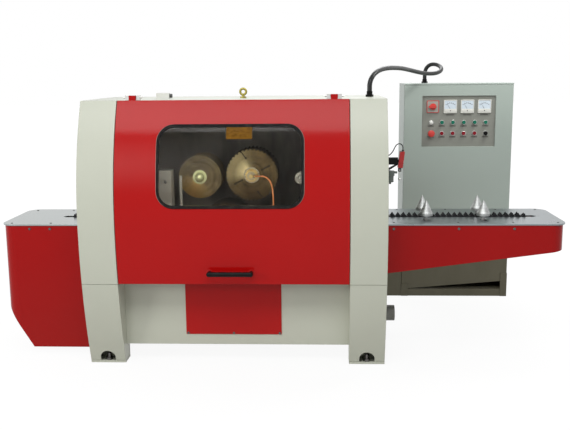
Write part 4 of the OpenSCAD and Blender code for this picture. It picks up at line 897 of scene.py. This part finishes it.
# %% Amber film on the pane
FILM_X, FILM_Z = (-31, 6, 43, 80, 116), (1414, 1400, 1385, 1370, 1355, 1341)
FILM_PROUD, STAIN_STRETCH = (0.3, 0.7), (40, 40, 90)
outline = [(FILM_X[0], z) for z in FILM_Z[:-1]] + [(x, FILM_Z[-1]) for x in FILM_X[:-1]]
outline += [(FILM_X[-1], z) for z in FILM_Z[:0:-1]] + [(x, FILM_Z[0]) for x in FILM_X[:0:-1]]
points, faces, _ = loft([[tuple(front_place(x, z, proud)) for x, z in outline] for proud in FILM_PROUD])
rows = [[0, 17, 16, 15, 14]] + [[k, 14 - k] for k in range(1, 5)] + [[5, 6, 7, 8, 9]]
bands = [tuple(base + i for i in top + low[::-1])
         for base in (0, len(outline)) for top, low in zip(rows, rows[1:])]
amber, tree, surface, place = material("amber film")
stain = noise(tree, vector_calc(tree, "MULTIPLY", place, STAIN_STRETCH), 1.0, 4)
fill(tree, surface.inputs["Base Color"], blend_colour(tree, spread(tree, stain, 0.3, 0.7),
                                                      rgb(0.115, 0.050, 0.002), rgb(0.205, 0.092, 0.004)))
fill(tree, surface.inputs["Roughness"], spread(tree, stain, 0.3, 0.7, 0.22, 0.4))
surface.inputs["Specular IOR Level"].default_value = 0.06
make_piece("pane_film", [(points, faces[:-2] + bands, 0)], [amber], "front_door")

# %% [markdown]
# At the right edge of the window a pale roller looks in. It turns on a flat link in front of the guide
# roller of the CAD model. The roller is a loft of circles with a rounded rim and a sunk middle, and the
# link is a loft of two outlines, which needs fewer steps than a lathe with a modifier.

# %% Guide roller on its link
ROLLER_X, ROLLER_Z, LINK_END_X, LINK_Y = 386, 1098, 445, (-264, -270.4)
ROLLER_RINGS = [(8, -270), (33, -270), (36, -273), (36, -293), (34.4, -296.6), (31, -298), (20, -298), (17, -294),
                (12, -294), (11, -299), (8, -300)]
LINK_ROUND = [(0, -14), (10, -10), (14, 0), (10, 10), (0, 14)]
link_outline = [(LINK_END_X + x, ROLLER_Z + z) for x, z in LINK_ROUND]
link_outline += [(ROLLER_X - x, ROLLER_Z - z) for x, z in LINK_ROUND]
make_piece("guide_roller", [loft([circle(ROLLER_X, ROLLER_Z, r, y, 48) for r, y in ROLLER_RINGS]),
                            loft([[(x, y, z) for x, z in link_outline] for y in LINK_Y])],
           [pale_casting], "frame")

# %% [markdown]
# ## Repeats by Geometry Nodes
# Bezels, caption plates, scale marks and grille bars repeat by a rule, so a small tree of geometry nodes
# makes each set. Array modifiers could repeat them too, but a tree keeps its sizes as named inputs and
# can turn each copy. Every tree ends in the same way: the copies are made real, moved to their middle and
# given their finish.

# %% Geometry tree helpers
WHOLE = "NodeSocketInt"
STAND_UP = (math.pi / 2, 0, 0)


def geometry_tree(name, inputs):
    group = bpy.data.node_groups.new(name, "GeometryNodeTree")
    group.interface.new_socket("Geometry", in_out="OUTPUT", socket_type="NodeSocketGeometry")
    for label, kind, default in inputs:
        group.interface.new_socket(label, in_out="INPUT", socket_type=kind).default_value = default
    group.interface.new_socket("Finish", in_out="INPUT", socket_type="NodeSocketMaterial")
    return group, group.nodes.new("NodeGroupInput").outputs, group.nodes.new("NodeGroupOutput").inputs


def close_tree(tree, instances, gin, gout):
    solid = add(tree, "GeometryNodeRealizeInstances", {"Geometry": instances}).outputs[0]
    placed = add(tree, "GeometryNodeTransform", {"Geometry": solid, "Translation": gin["Middle"]}).outputs[0]
    finished = add(tree, "GeometryNodeSetMaterial", {"Geometry": placed, "Material": gin["Finish"]}).outputs[0]
    fill(tree, gout["Geometry"], finished)
    print("tree:", tree.name, len(tree.nodes), "nodes")


def on_points(tree, points, instance, **turn):
    return add(tree, "GeometryNodeInstanceOnPoints", {"Points": points, "Instance": instance, **turn}).outputs[0]


def block(tree, size):
    corners = {"Vertices X": 2, "Vertices Y": 2, "Vertices Z": 2}
    return add(tree, "GeometryNodeMeshCube", {"Size": size, **corners}).outputs[0]


print("tree helpers ready, groups so far:", len(bpy.data.node_groups))

# %% [markdown]
# A tree works inside a modifier. Its inputs are set by their identifiers before the object is first
# evaluated. The modifier could stay live, but the result is kept as a plain mesh, which any other program
# can read, and the modifier is removed.

# %% From tree to mesh
def grow(name, group, sizes, finish, body, replaced=None, smooth=False):
    made = bpy.data.objects.new(name, bpy.data.meshes.new(name))
    scene.collection.objects.link(made)
    modifier = made.modifiers.new("repeat", "NODES")
    modifier.node_group = group
    sockets = {item.name: item.identifier for item in group.interface.items_tree if item.in_out == "INPUT"}
    for label, value in dict(sizes, Finish=finish).items():
        modifier[sockets[label]] = value
    depsgraph = bpy.context.evaluated_depsgraph_get()
    mesh = bpy.data.meshes.new_from_object(made.evaluated_get(depsgraph), depsgraph=depsgraph)
    made.modifiers.remove(modifier)
    made.data = mesh
    if smooth:
        mesh.shade_smooth()
        mesh.set_sharp_from_angle(angle=math.radians(CREASE))
    ride_on(made, body, replaced)


# %% [markdown]
# The push buttons of a control panel stand in rows, each in a rounded metal bezel. A bezel is a circle
# swept with a small rounded section. A torus would be quicker, but it has no flat face. A grid of points
# carries the copies, because the rows and columns are then two whole numbers.

# %% Tree of ring rows
RING_STEPS, FILLET_STEPS = 40, 3


def grid_points(tree, gin):
    step = add(tree, "ShaderNodeSeparateXYZ", {"Vector": gin["Step"]}).outputs
    grid = add(tree, "GeometryNodeMeshGrid", {
        "Size X": calc(tree, "MULTIPLY", step["X"], calc(tree, "SUBTRACT", gin["Columns"], 1.0)),
        "Size Y": calc(tree, "MULTIPLY", step["Z"], calc(tree, "SUBTRACT", gin["Rows"], 1.0)),
        "Vertices X": gin["Columns"], "Vertices Y": gin["Rows"]}).outputs[0]
    return add(tree, "GeometryNodeTransform", {"Geometry": grid, "Rotation": STAND_UP}).outputs[0]


ring_rows, gin, gout = geometry_tree("ring rows", [
    ("Columns", WHOLE, 6), ("Rows", WHOLE, 2), ("Step", VECTOR, (0.08, 0, 0.08)),
    ("Ring radius", NUMBER, 0.0157), ("Wall", NUMBER, 0.005), ("Depth", NUMBER, 0.012),
    ("Rounding", NUMBER, 0.0012), ("Middle", VECTOR, (0, 0, 0))])
tree = ring_rows
hoop = add(tree, "GeometryNodeCurvePrimitiveCircle", {"Resolution": RING_STEPS, "Radius": gin["Ring radius"]})
section = add(tree, "GeometryNodeCurvePrimitiveQuadrilateral", {"Width": gin["Wall"], "Height": gin["Depth"]})
section = add(tree, "GeometryNodeFilletCurve", {"Curve": section.outputs[0], "Radius": gin["Rounding"],
                                                "Count": FILLET_STEPS}, mode="POLY")
ring = add(tree, "GeometryNodeCurveToMesh", {"Curve": hoop.outputs["Curve"], "Profile Curve": section.outputs[0]})
ring = add(tree, "GeometryNodeTransform", {"Geometry": ring.outputs[0], "Rotation": STAND_UP})
close_tree(tree, on_points(tree, grid_points(tree, gin), ring.outputs[0]), gin, gout)

# %% [markdown]
# Under each button and meter is a small bare plate. The same grid of points carries thin blocks. They
# could be cut from one strip, but separate plates show their gaps.

# %% Tree of plate rows
plate_rows, gin, gout = geometry_tree("plate rows", [
    ("Columns", WHOLE, 6), ("Rows", WHOLE, 2), ("Step", VECTOR, (0.08, 0, 0.08)),
    ("Plate", VECTOR, (0.046, 0.001, 0.009)), ("Middle", VECTOR, (0, 0, 0))])
tree = plate_rows
close_tree(tree, on_points(tree, grid_points(tree, gin), block(tree, gin["Plate"])), gin, gout)

# %% [markdown]
# Scale marks on a meter and bars of a motor grille are both thin bars round a centre. Each bar is moved
# out by its reach, and copies on points at the centre are turned by their index. Spinning a mesh would
# also do it, but here the count, the sweep and the copies of the whole fan stay open as inputs.

# %% Tree of bars in a fan
bar_fan, gin, gout = geometry_tree("bar fan", [
    ("Bars", WHOLE, 11), ("Bar", VECTOR, (0.001, 0.001, 0.007)), ("Reach", NUMBER, 0.03),
    ("First turn", NUMBER, -0.8), ("Sweep", NUMBER, 1.6), ("Copies", WHOLE, 1), ("Copy step", VECTOR, (0, 0, 0)),
    ("Middle", VECTOR, (0, 0, 0))])
tree = bar_fan
reach = add(tree, "ShaderNodeCombineXYZ", {"Z": gin["Reach"]}).outputs[0]
bar = add(tree, "GeometryNodeTransform", {"Geometry": block(tree, gin["Bar"]), "Translation": reach}).outputs[0]
hub = add(tree, "GeometryNodeMeshLine", {"Count": gin["Bars"], "Offset": (0, 0, 0)}).outputs[0]
index = add(tree, "GeometryNodeInputIndex").outputs[0]
share = calc(tree, "DIVIDE", index, calc(tree, "SUBTRACT", gin["Bars"], 1.0))
turn = calc(tree, "ADD", gin["First turn"], calc(tree, "MULTIPLY", gin["Sweep"], share))
angles = add(tree, "ShaderNodeCombineXYZ", {"Y": turn}).outputs[0]
lean = add(tree, "FunctionNodeEulerToRotation", {"Euler": angles}).outputs[0]
fan = on_points(tree, hub, bar, Rotation=lean)
row = add(tree, "GeometryNodeMeshLine", {"Count": gin["Copies"], "Offset": gin["Copy step"]}).outputs[0]
close_tree(tree, on_points(tree, row, fan), gin, gout)

# %% [markdown]
# ## Control panel
# The panel is a grey anodised plate set into the cabinet door. It is part of the door's solid, so it
# can't be given a material slot of its own. The door's paint switches to brushed aluminium inside the
# panel's box instead.

# %% Cabinet door with its panel
PANEL_LOW, PANEL_HIGH = (1257.5, 1092.5, 1152.5), (1797.5, 1106, 1528.5)
cabinet_door_paint = painted("cabinet door paint", **CABINET_COAT)
tree = cabinet_door_paint.node_tree
surface = tree.nodes["Principled BSDF"]
place = add(tree, "ShaderNodeTexCoord").outputs["Object"]
plate = use_group(tree, ground_metal, {"Position": place, "Metal": rgb(0.250, 0.256, 0.226), "Grain": (8, 400, 400),
                                       "Base roughness": 0.38})
paint_colour = surface.inputs["Base Color"].links[0].from_socket
on_panel = inside_box(tree, place, PANEL_LOW, PANEL_HIGH)
fill(tree, surface.inputs["Base Color"], blend_colour(tree, on_panel, paint_colour, plate["Colour"]))
dress(cabinet_door_paint, "cabinet_door")

# %% [markdown]
# Three meters sit in the top row. Each one is a white frame round a sunk scale plate, with a cover and a
# setting screw below the scale and a needle at zero. A picture of a dial on a plane would be quicker, but
# it would look flat from the side. Each part is one loft that steps inwards, written as rows of half
# width, half height, corner and height over the panel.

# %% Meters
PANEL_Y, METER_Z, METER_X, METER_STEP = 1105, 1450, (1465, 1590.5, 1716), 0.1255
FRAME_PART, SCALE_PART, INK_PART = 0, 1, 2
METER_FRAME = [(49, 49, 4, 0), (49, 49, 4, 10), (47.2, 47.2, 3.4, 12), (44.5, 44.5, 2.5, 12), (43.6, 43.6, 2, 9)]
SCALE_PLATE = [(43.2, 30, 1.5, 8.8), (43.2, 30, 1.5, 9.4)]
SCREW_COVER = [(43.2, 12.5, 2, 8.8), (43.2, 12.5, 2, 11), (42, 11.3, 1.5, 11.6)]
SETTING_SCREW = [(3.6, 11.4), (3.6, 12.6), (2.8, 13)]
NEEDLE_HEIGHTS = (9.5, 10.1)


def stepped(x, z, steps, finish=0, ring=False):
    return loft([round_rect(x, z, half_w, half_h, corner, PANEL_Y - height)
                 for half_w, half_h, corner, height in steps], finish, ring)


meter_white = moulded_finish("meter white", rgb(0.76, 0.76, 0.71), dust=0.04, roughness=0.34)
scale_white = moulded_finish("scale white", rgb(0.66, 0.75, 0.83), dust=0.02, roughness=0.12, depth=0.00001)
ink = moulded_finish("scale ink", rgb(0.03, 0.035, 0.04), dust=0.0, roughness=0.4, depth=0.00001)
shapes = []
for x in METER_X:
    foot_x, foot_z, tip_x, tip_z = x - 2, METER_Z - 16, x - 23, METER_Z + 17
    shapes += [
        stepped(x, METER_Z, METER_FRAME, FRAME_PART),
        stepped(x, METER_Z + 13, SCALE_PLATE, SCALE_PART),
        stepped(x, METER_Z - 30.5, SCREW_COVER, FRAME_PART),
        loft([circle(x, METER_Z - 30, r, PANEL_Y - height, 20) for r, height in SETTING_SCREW], INK_PART),
        loft([[(foot_x - 0.9, PANEL_Y - height, foot_z - 0.6), (foot_x + 0.9, PANEL_Y - height, foot_z + 0.6),
               (tip_x + 0.4, PANEL_Y - height, tip_z + 0.3), (tip_x - 0.4, PANEL_Y - height, tip_z - 0.3)]
              for height in NEEDLE_HEIGHTS], INK_PART)]
make_piece("panel_meters", shapes, [meter_white, scale_white, ink], "cabinet_door")

# %% [markdown]
# The marks on a meter's scale are long, short and very fine bars at three radii. They could be drawn in
# the material, but thin bars stay sharp from close by. The fan of bars lays them for all three meters at
# once.

# %% Scale marks
meter_row = {"Copies": len(METER_X), "Copy step": (METER_STEP, 0.0, 0.0),
             "Middle": spot(METER_X[0], PANEL_Y - 9.6, METER_Z - 18), "First turn": -0.80, "Sweep": 1.60}
for name, bars, bar, reach in (("meter_main_marks", 6, (0.0014, 0.0005, 0.008), 0.0465),
                               ("meter_fine_marks", 26, (0.0007, 0.0005, 0.0045), 0.0448),
                               ("meter_scale_line", 41, (0.0020, 0.0005, 0.0006), 0.0425)):
    grow(name, bar_fan, dict(meter_row, Bars=bars, Bar=bar, Reach=reach), ink, "cabinet_door")

# %% [markdown]
# The main switch has a light plate with a red frame round it, and the lamp is a white dome. Bevelled cubes
# and half a sphere would come close. Lofts give the plate its soft edge, the frame its inner step and the
# dome its straight collar.

# %% Main switch plate and lamp
MAIN_X, LAMP_X, LAMP_Z = 1336, 1325, 1333
PLATE_PART, RED_PART, LAMP_PART = 0, 1, 2
SWITCH_PLATE = [(46, 46, 8, 0), (46, 46, 8, 6.5), (44.4, 44.4, 7, 8)]
SWITCH_FRAME = [(45.6, 45.6, 8, 7), (45.2, 45.2, 8, 8.8), (40.4, 40.4, 5, 8.8), (40.2, 40.2, 5, 7)]
LAMP_DOME = [(13.2, 0), (13.2, 11.5), (12.9, 14), (11.6, 16.4), (9, 18.2), (5, 19), (1.2, 19.2)]
switch_plate = moulded_finish("switch plate", rgb(0.36, 0.36, 0.32), dust=0.03, roughness=0.36)
frame_red = moulded_finish("frame red", rgb(0.50, 0.035, 0.035), dust=0.03, roughness=0.30)
lamp_white = moulded_finish("lamp white", rgb(0.80, 0.80, 0.76), dust=0.02, roughness=0.16)
make_piece("panel_switch_and_lamp", [
    stepped(MAIN_X, METER_Z, SWITCH_PLATE, PLATE_PART),
    stepped(MAIN_X, METER_Z, SWITCH_FRAME, RED_PART, ring=True),
    loft([circle(LAMP_X, LAMP_Z, r, PANEL_Y - height) for r, height in LAMP_DOME], LAMP_PART)],
    [switch_plate, frame_red, lamp_white], "cabinet_door")

# %% [markdown]
# Two rows of six places hold the lamp, the buttons, the stop mushroom and the selector. Each place has a
# bezel and a bare caption plate below it. Placing them one by one would work, but the trees keep the rows
# even.

# %% Bezels and caption plates
BUTTON_STEP, LOWER_ROW_Z, METER_CAPTION_Z = 80.5, 1252, 1389
CAPTION_DROP, CAPTION_PROUD, BEZEL_PROUD = 27, 0.4, 6
bezel_metal = ground("bezel metal", rgb(0.60, 0.60, 0.58), grain=(200, 200, 200), roughness=0.22, depth=0.00002)
caption_metal = ground("caption metal", rgb(0.115, 0.115, 0.10), grain=(300, 300, 300), roughness=0.40,
                       depth=0.00002, metallic=0.3)
middle_x, middle_z = LAMP_X + 2.5 * BUTTON_STEP, (LAMP_Z + LOWER_ROW_Z) / 2
button_grid = {"Columns": 6, "Rows": 2, "Step": (BUTTON_STEP / 1000, 0.0, (LAMP_Z - LOWER_ROW_Z) / 1000)}
bezel_sizes = {"Ring radius": 0.0155, "Wall": 0.0034, "Rounding": 0.0011}
grow("panel_bezels", ring_rows,
     dict(button_grid, Middle=spot(middle_x, PANEL_Y - BEZEL_PROUD, middle_z), **bezel_sizes), bezel_metal,
     "cabinet_door", "panel_fittings", smooth=True)
grow("button_captions", plate_rows,
     dict(button_grid, Middle=spot(middle_x, PANEL_Y - CAPTION_PROUD, middle_z - CAPTION_DROP)),
     caption_metal, "cabinet_door")
grow("meter_captions", plate_rows,
     {"Columns": len(METER_X), "Rows": 1, "Step": (METER_STEP, 0.0, 0.0), "Plate": (0.055, 0.001, 0.009),
      "Middle": spot(METER_X[1], PANEL_Y - CAPTION_PROUD, METER_CAPTION_Z)},
     caption_metal, "cabinet_door")

# %% [markdown]
# ## Motor grilles
# At the back, each saw motor ends in a fan cowl. Its grille is an opening with thin bars across it like
# the rays of a star, and three wire hoops that hold them. A thin black disc in the opening is painted
# shade for the dark inside of the cowl. A Wireframe modifier on a disc could make it too, but the fan of
# bars and three lofted hoops leave the widths free.

# %% Motor grilles
COWL_Y, COWLS = 792, (UPPER_ARBOR, LOWER_ARBOR)
OPENING_RADIUS, HOOP_RADII, HOOP_STEPS = 94, (18, 58, 94), 48
HOOP_SECTION = [(3, 0.4), (2.4, 3.4), (-2.4, 3.4), (-3, 0.4)]
# Painted shade: a thin black disc stands for the dark inside of each cowl.
cowl_shade_black = moulded_finish("cowl hollow", rgb(0.006, 0.006, 0.006), dust=0.05, roughness=0.6)
make_piece("cowl_openings", [loft([circle(x, z, OPENING_RADIUS, COWL_Y + proud, HOOP_STEPS) for proud in (0.2, 0.6)])
                             for x, z in COWLS], [cowl_shade_black], "frame")
grow("cowl_bars", bar_fan, {"Bars": 33, "Bar": (0.0045, 0.002, 0.078), "Reach": 0.057, "First turn": 0.0,
                            "Sweep": 2 * math.pi, "Copies": len(COWLS),
                            "Copy step": shaft_centre(LOWER_ARBOR) - shaft_centre(UPPER_ARBOR),
                            "Middle": spot(UPPER_ARBOR[0], COWL_Y + 1.6, UPPER_ARBOR[1])},
     enamel, "frame")
make_piece("cowl_hoops", [loft([circle(x, z, radius + wider, COWL_Y + proud, HOOP_STEPS)
                                for wider, proud in HOOP_SECTION], ring=True)
                          for x, z in COWLS for radius in HOOP_RADII], [enamel], "frame")

# %% [markdown]
# ## Studio
# The machine stands on a white floor in a white surround. The surround is white only for rays that see it
# straight, in a mirror or through glass, and dimmer as light. With a bright surround alone the machine
# would have no shadows, and with lamps alone the steel would mirror a black room.

# %% Surround
SURROUND_TINT, SURROUND_LIGHT, WHITE = rgb(0.97, 0.985, 1.0), 0.36, rgb(1, 1, 1)


def seen_straight(tree):
    rays = add(tree, "ShaderNodeLightPath").outputs
    return calc(tree, "MAXIMUM", calc(tree, "MAXIMUM", rays["Is Camera Ray"], rays["Is Glossy Ray"]),
                rays["Is Transmission Ray"])


world = bpy.data.worlds.new("studio")
world.use_nodes = True
scene.world = world
tree = world.node_tree
tree.nodes.clear()
as_light = add(tree, "ShaderNodeBackground", {"Color": SURROUND_TINT, "Strength": SURROUND_LIGHT}).outputs[0]
as_backdrop = add(tree, "ShaderNodeBackground", {"Color": WHITE, "Strength": 1.0}).outputs[0]
shown = add(tree, "ShaderNodeMixShader", {"Fac": seen_straight(tree)})
fill(tree, shown.inputs[1], as_light)
fill(tree, shown.inputs[2], as_backdrop)
tree.links.new(shown.outputs[0], add(tree, "ShaderNodeOutputWorld").inputs["Surface"])
print("surround as light:", SURROUND_LIGHT)

# %% [markdown]
# The floor shows the soft shadow near the machine and fades to white further out. A shadow catcher would
# need a second picture under the first. Here the floor mixes a pale matt with a white glow, and the
# distance from the middle sets how much of each is seen.

# %% Floor
FLOOR_HALF, FADE_FROM, FADE_TO, NEAR_GLOW, GLOW_STRENGTH = 40, 1.2, 3.2, 0.88, 1.05
floor_mesh = bpy.data.meshes.new("floor")
floor_mesh.from_pydata([(-FLOOR_HALF, -FLOOR_HALF, 0), (FLOOR_HALF, -FLOOR_HALF, 0), (FLOOR_HALF, FLOOR_HALF, 0),
                        (-FLOOR_HALF, FLOOR_HALF, 0)], [], [(0, 1, 2, 3)])
floor = bpy.data.objects.new("floor", floor_mesh)
scene.collection.objects.link(floor)
floor_white = bpy.data.materials.new("floor white")
floor_white.use_nodes = True
tree = floor_white.node_tree
tree.nodes.clear()
away = vector_calc(tree, "LENGTH", add(tree, "ShaderNodeTexCoord").outputs["Object"])
glow_share = spread(tree, away, FADE_FROM, FADE_TO, NEAR_GLOW, 1.0)
matt = add(tree, "ShaderNodeBsdfDiffuse", {"Color": rgb(0.60, 0.60, 0.59)}).outputs[0]
glow = add(tree, "ShaderNodeEmission", {"Color": WHITE, "Strength": GLOW_STRENGTH}).outputs[0]
shown = add(tree, "ShaderNodeMixShader", {"Fac": calc(tree, "MULTIPLY", seen_straight(tree), glow_share)})
fill(tree, shown.inputs[1], matt)
fill(tree, shown.inputs[2], glow)
tree.links.new(shown.outputs[0], add(tree, "ShaderNodeOutputMaterial").inputs["Surface"])
floor_mesh.materials.append(floor_white)
print("floor:", 2 * FLOOR_HALF, "m wide")

# %% [markdown]
# Five soft panels light the machine. The widest hangs above and in front and draws the pale band across
# the top of the door. A lower one stands behind. A small strong key light at the far left makes the left
# of each form lighter than its right. A panel with a grid in front of it, so that its light spreads by
# only thirty degrees, lays a faint sheen on the left of the door and of the pane. The last and smallest
# hangs over the cabinet. One large lamp could light it all, but the forms would look flat. The energy of a
# lamp is worked out from its size and the brightness of its face, so a panel can be resized and still
# look as bright.

# %% Lights
def soft_light(name, place, target, width, depth, radiance, tint, beam=None):
    data = bpy.data.lights.new(name, "AREA")
    data.shape, data.size, data.size_y = "RECTANGLE", width, depth
    data.energy = radiance * math.pi * width * depth
    if beam:
        half = math.radians(beam) / 2
        data.spread = 2 * half
        data.energy *= (math.tan(half) - half) / math.tan(half)
    data.color = tint
    made = bpy.data.objects.new(name, data)
    made.location = place
    made.rotation_euler = (Vector(target) - Vector(place)).to_track_quat("-Z", "Y").to_euler()
    made.visible_camera = False
    scene.collection.objects.link(made)
    print(name, round(data.energy), "W")


soft_light("front light", place=(0.0, -4.55, 5.4), target=(0.0, -4.55, 0), width=6.0, depth=2.45, radiance=5.6,
           tint=(1, 1, 1))
soft_light("rear light", place=(0.3, 4.6, 4.6), target=(0.3, 0.4, 0.8), width=5.0, depth=2.4, radiance=3.0,
           tint=(0.97, 0.985, 1))
soft_light("key light", place=(-6.85, -5.31, 2.8), target=(0.3, -0.3, 0.8), width=2.0, depth=1.6, radiance=15.0,
           tint=(1, 1, 0.97))
soft_light("grid light", place=(-2.71, -7.29, 3.84), target=(-0.80, -0.97, 1.22), width=2.9, depth=4.4,
           radiance=3.0, tint=(1, 0.99, 0.96), beam=30)
soft_light("cabinet light", place=(1.86, 0.06, 2.8), target=(1.54, 0.44, 0.0), width=0.9, depth=0.3,
           radiance=21.0, tint=(1, 1, 0.97))

# %% [markdown]
# Last, the picture's colours are kept plain.

# %% Plain colours
scene.view_settings.view_transform = "Standard"
